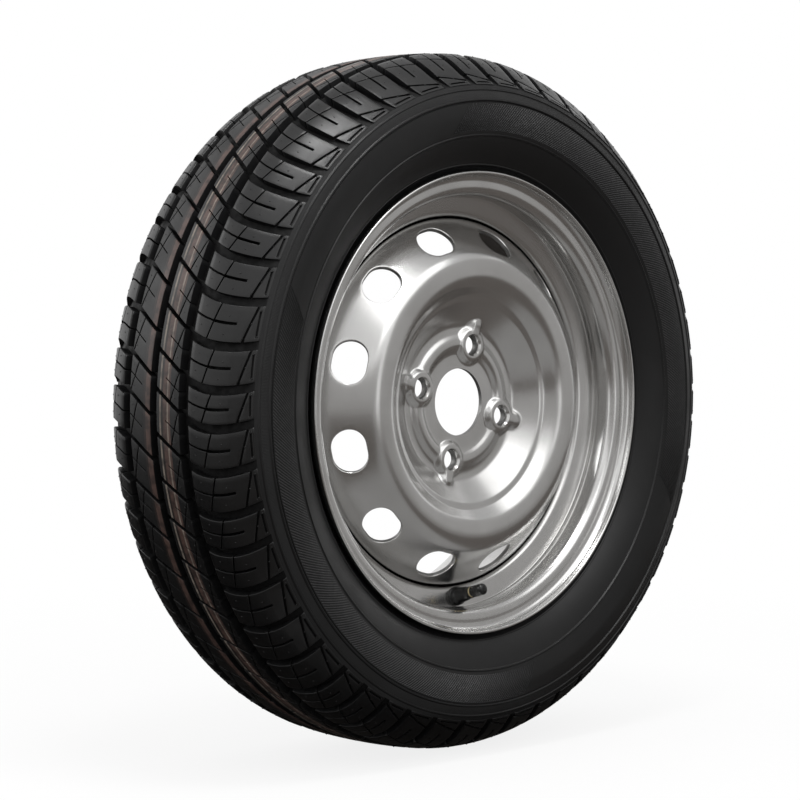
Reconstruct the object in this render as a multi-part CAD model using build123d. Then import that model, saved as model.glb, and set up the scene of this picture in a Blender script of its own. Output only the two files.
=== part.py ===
"""Passenger car wheel and tyre: pressed steel wheel, radial tyre and snap-in valve.

Millimetres. The wheel turns about Y, its outer face looks to -Y and Z is up.
The origin is on the axle line in the middle plane of the rim and the tyre.
Angles round the axle run from +X towards +Z.
"""

import os
from math import asin, cos, degrees, radians, sin, tan

from build123d import *

# Rim, 14 inch by 5 inch J section
SEAT_D = 354.8
RIM_W = 127.0
FLANGE_H = 17.3
FLANGE_R = 9.5
LIP_W = 12.0
HEEL_R = 6.5
RIM_T = 2.8
SEAT_W = 14.0
SEAT_TAPER = 5.0
HUMP_H = 2.0
HUMP_W = 5.8
HUMP_RISE_W = 3.5
WELL_DEPTH = 17.4
WALL_TILT = 15.6
WALL_BEND = 3.6
WELL_BACK = 4.0
RAMP_W = 10.0
RAMP_DROP = 2.4

# Wheel disc
DISC_T = 3.5
OFFSET = 40.0
BORE_D = 57.1
BOLT_PCD = 100.0
BOLT_COUNT = 4
BOLT_D = 15.0
BOLT_SEAT_D = 19.0
BOLT_SEAT_ANGLE = 60.0
BOSS_D = 29.0
BOSS_FOOT_D = 33.0
BOSS_H = 4.6
BOSS_EDGE = 1.6
RIDGE_W = 13.5
RIDGE_H = 3.3
RIDGE_SIDE = 3.4
RIDGE_BEND = 4.6
HUB_MARGIN = 8.25
BOWL_BEND = 10.0
LEDGE_R = 86.0
LEDGE_H = 14.8
LEDGE_W = 4.5
LEDGE_RISE = 1.4
CREST_IN_R = 103.0
CREST_OUT_R = 121.0
CREST_H = 26.4
CREST_BEND = 21.0
SKIRT_BEND = 9.0
SKIRT_INSET = 1.1
SKIRT_L = 22.0
RIB_W = 11.0
RIB_RISE = 8.4
RIB_ROUND = 4.0
RIB_SINK = 1.0
VENT_COUNT = 12
VENT_INSET = 17.0
VENT_LONG = 36.0
VENT_SHORT = 29.0
FIRST_BOLT = 75.0
THROUGH = 30.0

# Weld seams behind the disc
WELD_COUNT = 8
WELD_ARC = 24.0
WELD_LEG = 4.0
WELD_THROAT = 3.2

# Tyre, 185/65 R14
SECTION_H = 118.6
BULGE_Y = 89.8
BULGE_H = 62.6
LOW_WALL_Y = 85.8
LOW_WALL_H = 46.4
HIGH_WALL_Y = 88.6
HIGH_WALL_H = 75.0
CROWN_R = 520.0
CROWN_T = 15.5
SHOULDER_R = 54.0
SHOULDER_Y = 37.0
SHOULDER_ANGLE = 44.0
SHOULDER_FACETS = [60.0, 49.0, SHOULDER_Y]
SHOULDER_STEP = 1.4
SHOULDER_T = 11.0
SHOULDER_DROP = 20.0
LINER_DROP = 2.0
CHAMFER = 19.6
WALL_T = 7.0
APEX_H = 33.4
APEX_T = 13.4
TOE_H = 5.0
TOE_GAP = 0.6
RING_W = 2.2
RING_H = 0.6
RING_SINK = 2.0
BEAD_FIT = 0.1
CURL_GAP = 0.8
CURL_W = 5.2
CURL_RISE = 4.0

# Tread pattern
TREAD_DEPTH = 8.0
CENTRE_GROOVE = 8.0
SIDE_GROOVE = 9.5
RIB_OUT = 30.0
GROOVE_DRAFT = 0.7
CUT_DEPTH = 6.5
CUT_W = 3.2
CUT_SLOPE = 34.0
SHOULDER_CUT_W = 6.4
SHOULDER_CUT_SLOPE = 13.5
SHOULDER_CUT_DEPTH = 7.4
SHOULDER_CUT_BEND = 53.0
CHAMFER_CUT_DEPTH = 5.0
CUT_RUNOUT = 0.6
CUT_OVER = 6.0
TREAD_START = 75.2
NEAR_RIB_SHIFT = -15.0
FAR_RIB_SHIFT = -12.6
FAR_SHOULDER_SHIFT = -22.4
PITCH_LENGTH = {"S": 6.0, "M": 6.85, "L": 7.4}
PITCH_ORDER = "MMSMLMSMMSMSMLMSMMSMLLLSSSMLMSMSMLMMSMSLMMSMLSMSMLMSML"

# Snap-in valve
VALVE_ANGLE = 270.0
VALVE_RISE = 6.2
VALVE_HOLE_D = 11.5
COLLAR_D = 16.4
COLLAR_H = 6.0
COLLAR_GROOVE = 0.9
COLLAR_BAND = 2.2
BODY_D = 14.4
NECK_D = 10.4
NECK_FLARE = 0.7
NECK_H = 3.5
BODY_H = 20.0
BULB_D = 14.0
BULB_H = 5.4
BULB_TAPER = 1.6
BULB_NOSE = 2.2
BULB_NECK = 1.25
RUBBER_FIT = 0.25
STEM_D = 5.8
STEM_RING_EDGE = 0.85
STEM_RING_H = 1.3
THREAD_D = 7.7
THREAD_LEAD = 0.5
STEM_TOP = 32.6
AIR_D = 3.4
CORE_SEAT = 17.0
CORE_SEAT_H = 1.2
CORE_BORE_D = 4.3
CORE_THREAD_D = 5.2
CORE_THREAD_FIT = 0.1
CORE_THREAD_L = 6.2
CORE_WALL_GAP = 0.35
CORE_FOOT_GAP = 0.4
PLUG_SINK = 0.7
PLUG_STEP = 0.2
PLUG_GAP = 0.5
KEY_H = 1.8
KEY_D = 3.0
KEY_FLATS = 2.3
BARREL_FOOT = 0.8
SEAL_H = 2.1
SEAL_T = 0.65
SEAL_FIT = 0.05
CAP_WALL = 0.93
CAP_FIT = 0.12
CAP_FOOT_GAP = 0.3
CAP_TOP = 2.2
CAP_ROUND = 3.2
CAP_SEAL_T = 1.0
CAP_SEAL_FIT = 0.1
PIN_D = 1.2
PIN_FIT = 0.15
PIN_OUT = 0.4
PIN_FOOT_H = 0.8
PIN_TRAVEL_GAP = 0.05
PIN_COLLAR_H = 0.4
PIN_COLLAR_GAP = 0.25
CUP_T = 0.9
SPRING_WIRE = 0.36
SPRING_D = 2.5
SPRING_TURNS = 5
SPRING_FIT = 0.05
SPRING_ROOM = 0.2
SEAT_GAP = 0.1

# Sizes that follow from the ones above
SEAT_R = SEAT_D / 2
HALF_W = RIM_W / 2
FLANGE_TOP = SEAT_R + FLANGE_H
EDGE_Y = HALF_W + LIP_W
SEAT_DROP = SEAT_W * tan(radians(SEAT_TAPER))
HUMP_Y = HALF_W - SEAT_W
WELL_R = SEAT_R - WELL_DEPTH
WALL_TOP_Y = HUMP_Y - HUMP_RISE_W - HUMP_W
WALL_TOP_R = SEAT_R - SEAT_DROP + HUMP_H
WALL_FOOT_Y = WALL_TOP_Y - (WALL_TOP_R - WELL_R) * tan(radians(WALL_TILT))
HUB_Y = -OFFSET - DISC_T
CREST_Y = HUB_Y - CREST_H
SKIRT_R = WELL_R - RIM_T
SLOPE_END = SKIRT_INSET - WALL_FOOT_Y
SKIRT_END = SLOPE_END + SKIRT_L
BOLT_R = BOLT_PCD / 2
HUB_R = BOLT_R + RIDGE_W / 2 + HUB_MARGIN
VENT_R = SKIRT_R - VENT_INSET
TYRE_R = SEAT_R + SECTION_H
BULGE_R = SEAT_R + BULGE_H
LOW_WALL_R = SEAT_R + LOW_WALL_H
HIGH_WALL_R = SEAT_R + HIGH_WALL_H
LINER_R = TYRE_R - CROWN_T
VALVE_R = WELL_R + VALVE_RISE
BULB_TOP = -RIM_T - SEAT_GAP - RUBBER_FIT
STEM_FOOT = BULB_TOP - BULB_H
STEM_RING_TOP = BODY_H + STEM_RING_H
STEM_RING_D = THREAD_D + 2 * STEM_RING_EDGE
CAP_D = THREAD_D + 2 * (CAP_FIT + CAP_WALL)
CAP_ROOF = STEM_TOP + SEAT_GAP + CAP_SEAL_T
BARREL_LOW = CORE_SEAT + CORE_SEAT_H + CORE_FOOT_GAP
PLUG_TOP = STEM_TOP - PLUG_SINK
BARREL_TOP = PLUG_TOP - CORE_THREAD_L - PLUG_STEP


def turned(shape, angle):
    """Turns a shape about the axle, from +X towards +Z."""
    return Rot(0, -angle, 0) * shape


def ring_of(shape, count, first=0.0):
    """Equal copies of a shape round the axle."""
    return [turned(shape, first + k * 360 / count) for k in range(count)]


def pressed_sheet(points, radii, thickness, side):
    """Turns a bent line of (radius, axial) points into a sheet of even thickness."""
    with BuildSketch() as section:
        with BuildLine():
            FilletPolyline(*points, radius=radii)
            offset(amount=thickness, kind=Kind.INTERSECTION, side=side)
        make_face()
    return revolve(section.sketch, Axis.Y)


# Rim


def rim_line():
    """Tyre side of the rim from the outer flange to the inner one."""
    half = [
        (FLANGE_TOP, EDGE_Y),
        (FLANGE_TOP, HALF_W),
        (SEAT_R, HALF_W),
        (SEAT_R - SEAT_DROP, HUMP_Y),
        (WALL_TOP_R, HUMP_Y - HUMP_RISE_W),
    ]
    bends = [FLANGE_R, HEEL_R, 0, 0]
    outer = [(r, -y) for r, y in half]
    ramp_top = WELL_BACK + RAMP_W
    well = [
        (WALL_TOP_R, -WALL_TOP_Y),
        (WELL_R, -WALL_FOOT_Y),
        (WELL_R, WELL_BACK),
        (SEAT_R - SEAT_DROP - RAMP_DROP, ramp_top),
        (SEAT_R - SEAT_DROP, WALL_TOP_Y),
    ]
    points = outer + well + half[::-1]
    return points, bends + [WALL_BEND, 0, 0, 0, 0] + bends[::-1]


def build_rim():
    """Rolled rim with its two flanges, bead seats, drop well and valve hole."""
    points, radii = rim_line()
    rim = pressed_sheet(points, radii, RIM_T, Side.LEFT)
    return rim - valve_place() * Cylinder(VALVE_HOLE_D / 2, THROUGH)


# Wheel disc


def disc_line():
    """Outer face of the disc from the hub bore to the end of the skirt."""
    ridge_in = BOLT_R - RIDGE_W / 2
    ridge_out = BOLT_R + RIDGE_W / 2
    ledge_y = HUB_Y - LEDGE_H
    points = [
        (BORE_D / 2, HUB_Y),
        (ridge_in, HUB_Y),
        (ridge_in + RIDGE_SIDE, HUB_Y - RIDGE_H),
        (ridge_out - RIDGE_SIDE, HUB_Y - RIDGE_H),
        (ridge_out, HUB_Y),
        (HUB_R, HUB_Y),
        (LEDGE_R, ledge_y),
        (LEDGE_R + LEDGE_W, ledge_y - LEDGE_RISE),
        (CREST_IN_R, CREST_Y),
        (CREST_OUT_R, CREST_Y),
        (SKIRT_R, SLOPE_END),
        (SKIRT_R, SKIRT_END),
    ]
    bends = [0, RIDGE_BEND, RIDGE_BEND, 0, BOWL_BEND, 0, 0, CREST_BEND, CREST_BEND, SKIRT_BEND]
    return points, bends


def bowl_r(height):
    """Radius of the bowl's lower wall at a height above the hub face."""
    return HUB_R + (LEDGE_R - HUB_R) * height / LEDGE_H


def bolt_boss():
    """One raised seat round a wheel bolt, with its rib up the bowl, on +X."""
    boss = Cone(BOSS_FOOT_D / 2, BOSS_D / 2, BOSS_H, align=(Align.CENTER, Align.CENTER, Align.MIN))
    boss = fillet(boss.edges().sort_by(Axis.Z)[-1], BOSS_EDGE)
    boss = Pos(BOLT_R, HUB_Y, 0) * Rot(90, 0, 0) * boss
    nose = [
        (BOLT_R, HUB_Y + RIB_SINK),
        (HUB_R, HUB_Y + RIB_SINK),
        (bowl_r(RIB_RISE) - RIB_SINK, HUB_Y - RIB_RISE / 2),
        (bowl_r(RIB_RISE) - RIB_SINK, HUB_Y - RIB_RISE),
        (BOLT_R, HUB_Y - RIDGE_H),
    ]
    rib = extrude(make_face(Polyline(*nose, close=True)), RIB_W / 2, both=True)
    crest = rib.faces().sort_by(Axis.Y)[0]
    rib = fillet(crest.edges().sort_by(Axis.Z)[::3], RIB_ROUND)
    return boss, rib


def bolt_hole():
    """Clearance hole with a conical seat for one wheel bolt, on +X."""
    run = (BOLT_SEAT_D - BOLT_D) / 2 / tan(radians(BOLT_SEAT_ANGLE / 2))
    cone = Cone(BOLT_SEAT_D / 2, BOLT_D / 2, run, align=(Align.CENTER, Align.CENTER, Align.MIN))
    hole = Cylinder(BOLT_D / 2, THROUGH) + cone
    return Pos(BOLT_R, HUB_Y - BOSS_H, 0) * Rot(-90, 0, 0) * hole


def vent_cutter():
    """One oval vent through the sloping ring of the disc, on +X."""
    run = SKIRT_R - CREST_OUT_R
    fall = SLOPE_END - CREST_Y
    axial = CREST_Y + (VENT_R - CREST_OUT_R) * fall / run
    plane = Plane((VENT_R, axial, 0), x_dir=(0, 0, 1), z_dir=(fall, -run, 0))
    return plane.location * extrude(SlotOverall(VENT_LONG, VENT_SHORT), THROUGH / 2, both=True)


def build_disc():
    """Pressed disc with its hub face, bolt seats, bowl, rounded crest, vents and skirt."""
    points, radii = disc_line()
    disc = pressed_sheet(points, radii, DISC_T, Side.LEFT)
    boss, rib = bolt_boss()
    disc += ring_of(boss, BOLT_COUNT, FIRST_BOLT) + ring_of(rib, BOLT_COUNT, FIRST_BOLT)
    disc -= ring_of(bolt_hole(), BOLT_COUNT, FIRST_BOLT)
    disc -= ring_of(vent_cutter(), VENT_COUNT, FIRST_BOLT)
    return disc


def build_welds():
    """Fillet welds between the end of the disc skirt and the rim well."""
    leg = [
        (SKIRT_R, SKIRT_END),
        (SKIRT_R, SKIRT_END + WELD_LEG),
        (SKIRT_R - WELD_THROAT, SKIRT_END),
    ]
    seam = revolve(make_face(Polyline(*leg, close=True)), Axis.Y, WELD_ARC)
    return ring_of(seam, WELD_COUNT, FIRST_BOLT)


# Tyre


def tread_r(y):
    """Outer radius of the tread at a distance from the middle plane."""
    y = abs(y)
    if y <= SHOULDER_Y:
        return TYRE_R - CROWN_R * (1 - cos(asin(y / CROWN_R)))
    lean = asin(SHOULDER_Y / CROWN_R)
    turn = asin(min((y - SHOULDER_Y) / SHOULDER_R + sin(lean), 1.0))
    return tread_r(SHOULDER_Y) - SHOULDER_R * (cos(lean) - cos(turn))


def shoulder_end():
    """Where the rounded shoulder runs into the straight chamfer, and the chamfer's foot."""
    lean = asin(SHOULDER_Y / CROWN_R)
    turn = radians(SHOULDER_ANGLE)
    y = SHOULDER_Y + SHOULDER_R * (sin(turn) - sin(lean))
    r = tread_r(SHOULDER_Y) - SHOULDER_R * (cos(lean) - cos(turn))
    return (r, y), (r - CHAMFER * sin(turn), y + CHAMFER * cos(turn))


def tyre_half():
    """Half section of the tyre on the +Y side, without the tread grooves."""
    seat = SEAT_R + BEAD_FIT
    wall = HALF_W - BEAD_FIT
    taper = tan(radians(SEAT_TAPER))
    toe = (seat - (SEAT_W - TOE_GAP) * taper, HUMP_Y + TOE_GAP)
    leave = (FLANGE_TOP + CURL_GAP, wall + CURL_W)
    start, foot = shoulder_end()
    step = (foot[0] - SHOULDER_STEP, foot[1] - SHOULDER_STEP)
    with BuildSketch() as section:
        with BuildLine():
            Polyline(
                toe,
                (seat - HEEL_R * taper, wall - HEEL_R),
                (seat + HEEL_R, wall),
                (FLANGE_TOP - FLANGE_R + CURL_RISE, wall),
                leave,
            )
            ThreePointArc(leave, (LOW_WALL_R, LOW_WALL_Y), (BULGE_R, BULGE_Y))
            ThreePointArc((BULGE_R, BULGE_Y), (HIGH_WALL_R, HIGH_WALL_Y), step)
            Polyline(step, foot, start, *[(tread_r(y), y) for y in SHOULDER_FACETS])
            ThreePointArc(
                (tread_r(SHOULDER_Y), SHOULDER_Y),
                (tread_r(SHOULDER_Y / 2), SHOULDER_Y / 2),
                (TYRE_R, 0),
            )
            Polyline(
                (TYRE_R, 0),
                (LINER_R, 0),
                (LINER_R - LINER_DROP, SHOULDER_Y),
                (LINER_R - SHOULDER_DROP, BULGE_Y - SHOULDER_T),
                (BULGE_R, BULGE_Y - WALL_T),
                (SEAT_R + APEX_H, LOW_WALL_Y - APEX_T),
                (SEAT_R + TOE_H, HUMP_Y - TOE_GAP),
                toe,
            )
        make_face()
    return section.sketch


def wall_ring(r, y):
    """Section of one raised ring on the sidewall, sunk into the wall."""
    return Pos(r, y + (RING_H - RING_SINK) / 2) * Rectangle(RING_W, RING_H + RING_SINK)


def groove_section(middle, width):
    """Section of one groove that runs right round the tread, a little wider at its mouth."""
    top = TYRE_R + CUT_OVER
    floor = tread_r(middle) - TREAD_DEPTH
    mouth = width / 2 + GROOVE_DRAFT * CUT_OVER / TREAD_DEPTH
    foot = width / 2 - GROOVE_DRAFT
    points = [
        (floor, middle - foot),
        (floor, middle + foot),
        (top, middle + mouth),
        (top, middle - mouth),
    ]
    return make_face(Polyline(*points, close=True))


def slanted(shape, y, slope, shift):
    """Leans a cutter standing on +X about its own radius and slides it round the tread."""
    return turned(Pos(0, y, 0) * Rot(-slope, 0, 0) * shape, degrees(shift / TYRE_R))


def rib_cutter(y, shift):
    """Narrow slanted cut across one of the two middle ribs."""
    length = (RIB_OUT - CENTRE_GROOVE / 2 + SIDE_GROOVE / 2) / cos(radians(CUT_SLOPE))
    depth = CUT_DEPTH + CUT_OVER
    block = Pos(TYRE_R - CUT_DEPTH + depth / 2, 0, 0) * Box(depth, length, CUT_W)
    return slanted(block, y, CUT_SLOPE, shift)


def shoulder_cutter(side, shift):
    """Wide cut from the side groove out over the shoulder, on the -Y or +Y side."""
    start, foot = shoulder_end()
    inner = RIB_OUT + SIDE_GROOVE
    turn = radians(SHOULDER_ANGLE)
    points = [
        (tread_r(inner) - SHOULDER_CUT_DEPTH, inner - CUT_OVER),
        (tread_r(SHOULDER_CUT_BEND) - SHOULDER_CUT_DEPTH, SHOULDER_CUT_BEND),
        (start[0] - CHAMFER_CUT_DEPTH * cos(turn), start[1] - CHAMFER_CUT_DEPTH * sin(turn)),
        (foot[0] - CUT_RUNOUT, foot[1] - CUT_RUNOUT),
        (foot[0] - CUT_RUNOUT, foot[1] + CUT_OVER),
        (TYRE_R + CUT_OVER, foot[1] + CUT_OVER),
        (TYRE_R + CUT_OVER, inner - CUT_OVER),
    ]
    local = [(r, side * (y - inner)) for r, y in points]
    plate = extrude(make_face(Polyline(*local, close=True)), SHOULDER_CUT_W / 2, both=True)
    return slanted(plate, side * inner, SHOULDER_CUT_SLOPE, shift)


def tread_cutters():
    """All cuts across the tread, spaced by the short, middle and long pitches in turn."""
    rib_y = (CENTRE_GROOVE / 2 + RIB_OUT) / 2
    one_pitch = [
        shoulder_cutter(-1, 0.0),
        rib_cutter(-rib_y, NEAR_RIB_SHIFT),
        rib_cutter(rib_y, FAR_RIB_SHIFT),
        shoulder_cutter(1, FAR_SHOULDER_SHIFT),
    ]
    scale = 360 / sum(PITCH_LENGTH[p] for p in PITCH_ORDER)
    angle = TREAD_START
    cutters = []
    for pitch in PITCH_ORDER:
        cutters += [turned(cutter, angle) for cutter in one_pitch]
        angle += PITCH_LENGTH[pitch] * scale
    return cutters


def build_tyre():
    """Tyre with its hollow casing, wall rings, three grooves right round and slanted cuts."""
    half = tyre_half() + wall_ring(LOW_WALL_R, LOW_WALL_Y) + wall_ring(HIGH_WALL_R, HIGH_WALL_Y)
    section = half + mirror(half, Plane.XZ)
    side_y = RIB_OUT + SIDE_GROOVE / 2
    section -= groove_section(0, CENTRE_GROOVE)
    section -= groove_section(side_y, SIDE_GROOVE)
    section -= groove_section(-side_y, SIDE_GROOVE)
    tyre = revolve(section, Axis.Y)
    return tyre - tread_cutters()


# Valve, drawn upright on Z from the face of the rim wall


def valve_place():
    """Where the valve's foot stands on the rim wall, and which way the valve points."""
    lean = radians(WALL_TILT)
    drop = (WALL_TOP_R - VALVE_R) * tan(lean)
    y = -(WALL_TOP_Y - drop) - RIM_T / cos(lean)
    plane = Plane((VALVE_R, y, 0), x_dir=(0, 0, 1), z_dir=(-sin(lean), -cos(lean), 0))
    return Rot(0, -VALVE_ANGLE, 0) * plane.location


def lathe(*points):
    """Revolves a closed loop of (radius, height) points about Z."""
    return revolve(make_face(Plane.XZ * Polyline(*points, close=True)), Axis.Z)


def build_valve_rubber():
    """Moulded body that snaps into the rim: bulb, grooved collar and tapered neck."""
    hole = VALVE_HOLE_D / 2 - SEAT_GAP / 2
    collar = COLLAR_D / 2
    return lathe(
        (STEM_D / 2, STEM_FOOT),
        (BULB_D / 2 - BULB_TAPER, STEM_FOOT),
        (BULB_D / 2, STEM_FOOT + BULB_NOSE),
        (BULB_D / 2, BULB_TOP - BULB_NECK),
        (hole, BULB_TOP),
        (hole, SEAT_GAP),
        (collar, SEAT_GAP),
        (collar, COLLAR_BAND),
        (collar - COLLAR_GROOVE, COLLAR_BAND),
        (collar - COLLAR_GROOVE, COLLAR_BAND + COLLAR_GROOVE),
        (collar, COLLAR_BAND + COLLAR_GROOVE),
        (collar, COLLAR_H - COLLAR_GROOVE),
        (BODY_D / 2, COLLAR_H),
        (NECK_D / 2 + NECK_FLARE, BODY_H - NECK_H - BULB_NOSE),
        (NECK_D / 2, BODY_H - NECK_H),
        (NECK_D / 2, BODY_H),
        (STEM_D / 2, BODY_H),
    )


def build_valve_stem():
    """Brass tube through the rubber body, with its ring, thread size and core seat."""
    core_r = CORE_THREAD_D / 2 + CORE_THREAD_FIT
    return lathe(
        (AIR_D / 2, STEM_FOOT),
        (STEM_D / 2, STEM_FOOT),
        (STEM_D / 2, BODY_H),
        (STEM_RING_D / 2, BODY_H),
        (STEM_RING_D / 2, STEM_RING_TOP),
        (THREAD_D / 2, STEM_RING_TOP),
        (THREAD_D / 2, STEM_TOP - THREAD_LEAD),
        (THREAD_D / 2 - THREAD_LEAD, STEM_TOP),
        (core_r, STEM_TOP),
        (core_r, BARREL_TOP - PLUG_GAP),
        (CORE_BORE_D / 2, BARREL_TOP - PLUG_GAP - (core_r - CORE_BORE_D / 2)),
        (CORE_BORE_D / 2, CORE_SEAT + CORE_SEAT_H),
        (AIR_D / 2, CORE_SEAT),
    )


def build_valve_cap():
    """Round ended screw cap."""
    bore = THREAD_D / 2 + CAP_FIT
    foot = STEM_RING_TOP + CAP_FOOT_GAP
    side = CAP_D / 2
    top = CAP_ROOF + CAP_TOP
    with BuildSketch(Plane.XZ) as section:
        with BuildLine():
            Polyline((0, top), (0, CAP_ROOF), (bore, CAP_ROOF), (bore, foot), (side, foot))
            Line((side, foot), (side, top - CAP_ROUND))
            TangentArc((side, top - CAP_ROUND), (side - CAP_ROUND, top), tangent=(0, 1))
            Line((side - CAP_ROUND, top), (0, top))
        make_face()
    return revolve(section.sketch, Axis.Z)


def build_cap_seal():
    """Soft disc in the roof of the cap that closes the stem."""
    low = STEM_TOP + SEAT_GAP
    return Pos(0, 0, low + CAP_SEAL_T / 2) * Cylinder(THREAD_D / 2 - CAP_SEAL_FIT, CAP_SEAL_T)


def build_core_plug():
    """Threaded plug that holds the core down, with a flat sided head for the core key."""
    pin = PIN_D / 2 + PIN_FIT
    plug = lathe(
        (pin, BARREL_TOP),
        (CORE_THREAD_D / 2, BARREL_TOP),
        (CORE_THREAD_D / 2, PLUG_TOP - KEY_H),
        (KEY_D / 2, PLUG_TOP - KEY_H),
        (KEY_D / 2, PLUG_TOP),
        (pin, PLUG_TOP),
    )
    flat = Pos((KEY_FLATS + KEY_D) / 2, 0, PLUG_TOP - KEY_H / 2) * Box(KEY_D, KEY_D, KEY_H)
    return plug - flat - mirror(flat, Plane.YZ)


def build_core_barrel():
    """Brass barrel below the plug, hollow for the spring."""
    pin = PIN_D / 2 + PIN_FIT
    outer = CORE_BORE_D / 2 - CORE_WALL_GAP
    neck = CORE_BORE_D / 2 - SEAL_T - SEAL_FIT
    room = SPRING_D / 2 + SPRING_ROOM
    shoulder = BARREL_LOW + SEAL_H + 2 * SEAT_GAP
    return lathe(
        (pin, BARREL_LOW),
        (neck, BARREL_LOW),
        (neck, shoulder),
        (outer, shoulder),
        (outer, BARREL_TOP),
        (room, BARREL_TOP),
        (room, BARREL_LOW + BARREL_FOOT),
        (pin, BARREL_LOW + BARREL_FOOT),
    )


def build_core_seal():
    """Soft ring round the foot of the barrel that seals it in the stem."""
    outer = CORE_BORE_D / 2 - SEAL_FIT
    inner = CORE_BORE_D / 2 - SEAL_T
    low = BARREL_LOW + SEAT_GAP
    return lathe((inner, low), (outer, low), (outer, low + SEAL_H), (inner, low + SEAL_H))


def build_core_pin():
    """Pin with the foot that carries the cup and the collar that the spring pushes on."""
    pin = PIN_D / 2
    foot_r = AIR_D / 2 - PIN_FIT
    foot = BARREL_LOW - PIN_TRAVEL_GAP - CUP_T - PIN_FOOT_H
    collar_r = SPRING_D / 2 - SPRING_FIT
    collar = BARREL_TOP - PIN_COLLAR_GAP - PIN_COLLAR_H
    return lathe(
        (0, foot),
        (foot_r, foot),
        (foot_r, foot + PIN_FOOT_H),
        (pin, foot + PIN_FOOT_H),
        (pin, collar),
        (collar_r, collar),
        (collar_r, collar + PIN_COLLAR_H),
        (pin, collar + PIN_COLLAR_H),
        (pin, PLUG_TOP + PIN_OUT),
        (0, PLUG_TOP + PIN_OUT),
    )


def build_core_cup():
    """Soft washer between the pin's foot and the foot of the barrel."""
    outer = AIR_D / 2 - PIN_FIT
    top = BARREL_LOW - PIN_TRAVEL_GAP
    return lathe((PIN_D / 2, top - CUP_T), (outer, top - CUP_T), (outer, top), (PIN_D / 2, top))


def build_core_spring():
    """Coil spring inside the barrel, between its foot and the pin's collar."""
    start = BARREL_LOW + BARREL_FOOT + SPRING_FIT + SPRING_WIRE / 2
    end = BARREL_TOP - PIN_COLLAR_GAP - PIN_COLLAR_H - SPRING_FIT - SPRING_WIRE / 2
    radius = (SPRING_D - SPRING_WIRE) / 2
    path = Helix(pitch=(end - start) / SPRING_TURNS, height=end - start, radius=radius)
    wire = sweep(Plane(path @ 0, z_dir=path % 0) * Rectangle(SPRING_WIRE, SPRING_WIRE), path)
    return Pos(0, 0, start) * wire


def main():
    """Builds every piece and writes one file for each."""
    os.makedirs("parts", exist_ok=True)
    place = valve_place()
    export_step(build_rim(), "parts/rim.step")
    export_step(build_disc(), "parts/wheel_disc.step")
    export_step(Compound(children=build_welds()), "parts/weld_seams.step")
    export_step(build_tyre(), "parts/tyre.step")
    export_step(place * build_valve_rubber(), "parts/valve_rubber.step")
    export_step(place * build_valve_stem(), "parts/valve_stem.step")
    export_step(place * build_valve_cap(), "parts/valve_cap.step")
    export_step(place * build_cap_seal(), "parts/cap_seal.step")
    export_step(place * build_core_plug(), "parts/core_plug.step")
    export_step(place * build_core_barrel(), "parts/core_barrel.step")
    export_step(place * build_core_seal(), "parts/core_seal.step")
    export_step(place * build_core_pin(), "parts/core_pin.step")
    export_step(place * build_core_cup(), "parts/core_cup.step")
    export_step(place * build_core_spring(), "parts/core_spring.step")


if __name__ == "__main__":
    main()
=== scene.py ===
"""Looks of a car wheel with its tyre and inflation valve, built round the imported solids.

The wheel turns about Y, its outer face looks to -Y and Z is up. Shapes are worked out in
millimetres and made in metres. Angles round the axle run from +X towards +Z.
"""

import math

import bmesh
import bpy
import numpy as np
from bpy.props import FloatProperty, FloatVectorProperty, PointerProperty
from mathutils import Matrix, Vector


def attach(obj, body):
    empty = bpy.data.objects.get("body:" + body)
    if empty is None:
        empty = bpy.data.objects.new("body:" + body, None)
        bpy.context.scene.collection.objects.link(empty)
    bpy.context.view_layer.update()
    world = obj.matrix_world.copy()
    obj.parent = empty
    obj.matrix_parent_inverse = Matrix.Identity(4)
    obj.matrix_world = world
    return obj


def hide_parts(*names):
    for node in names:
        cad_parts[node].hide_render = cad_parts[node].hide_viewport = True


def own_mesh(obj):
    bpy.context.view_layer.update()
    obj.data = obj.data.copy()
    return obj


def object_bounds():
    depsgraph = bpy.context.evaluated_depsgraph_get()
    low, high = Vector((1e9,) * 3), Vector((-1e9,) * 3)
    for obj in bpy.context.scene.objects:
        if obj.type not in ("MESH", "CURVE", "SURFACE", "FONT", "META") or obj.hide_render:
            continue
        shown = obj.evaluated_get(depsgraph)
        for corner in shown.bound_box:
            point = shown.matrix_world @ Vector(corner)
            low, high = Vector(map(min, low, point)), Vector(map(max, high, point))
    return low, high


bl_info = {
    "name": "Car wheel and tyre",
    "version": (1, 0, 0),
    "blender": (4, 5, 0),
    "location": "View3D > Sidebar > Wheel",
    "description": "Builds the looks of a steel wheel with its tyre and valve",
    "category": "Object",
}

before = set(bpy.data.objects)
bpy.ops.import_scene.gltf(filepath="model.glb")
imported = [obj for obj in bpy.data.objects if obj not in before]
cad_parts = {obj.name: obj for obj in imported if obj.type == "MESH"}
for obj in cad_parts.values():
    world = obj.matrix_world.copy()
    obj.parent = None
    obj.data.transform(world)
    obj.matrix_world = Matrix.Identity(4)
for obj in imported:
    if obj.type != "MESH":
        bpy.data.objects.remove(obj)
CAD_BOX = [list(corner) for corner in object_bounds()]

MM = 0.001

# Tyre section, with points as (radius, axial place) of the half at +Y
CROWN_R = 520.0
SHOULDER_R = 54.0
SHOULDER_Y = 37.0
SHOULDER_TURN = math.radians(44.0)
CHAMFER = 19.6
SHOULDER_STEP = 0.7
BEAD_LEAVE = (195.5, 68.6)
WALL_LOW = (216.8, 82.5)
WALL_BULGE = (240.0, 88.95)
WALL_HIGH = (252.4, 87.9)
BEAD_LINE = [(188.9, 63.4), (184.0, 63.4), (179.4, 61.2), (176.9, 56.9), (176.3, 50.1)]
LINER_LINE = [(182.4, 48.9), (210.8, 72.4), (240.0, 82.8), (260.5, 78.8), (278.5, 37.0), (280.5, 0.0)]
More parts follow.
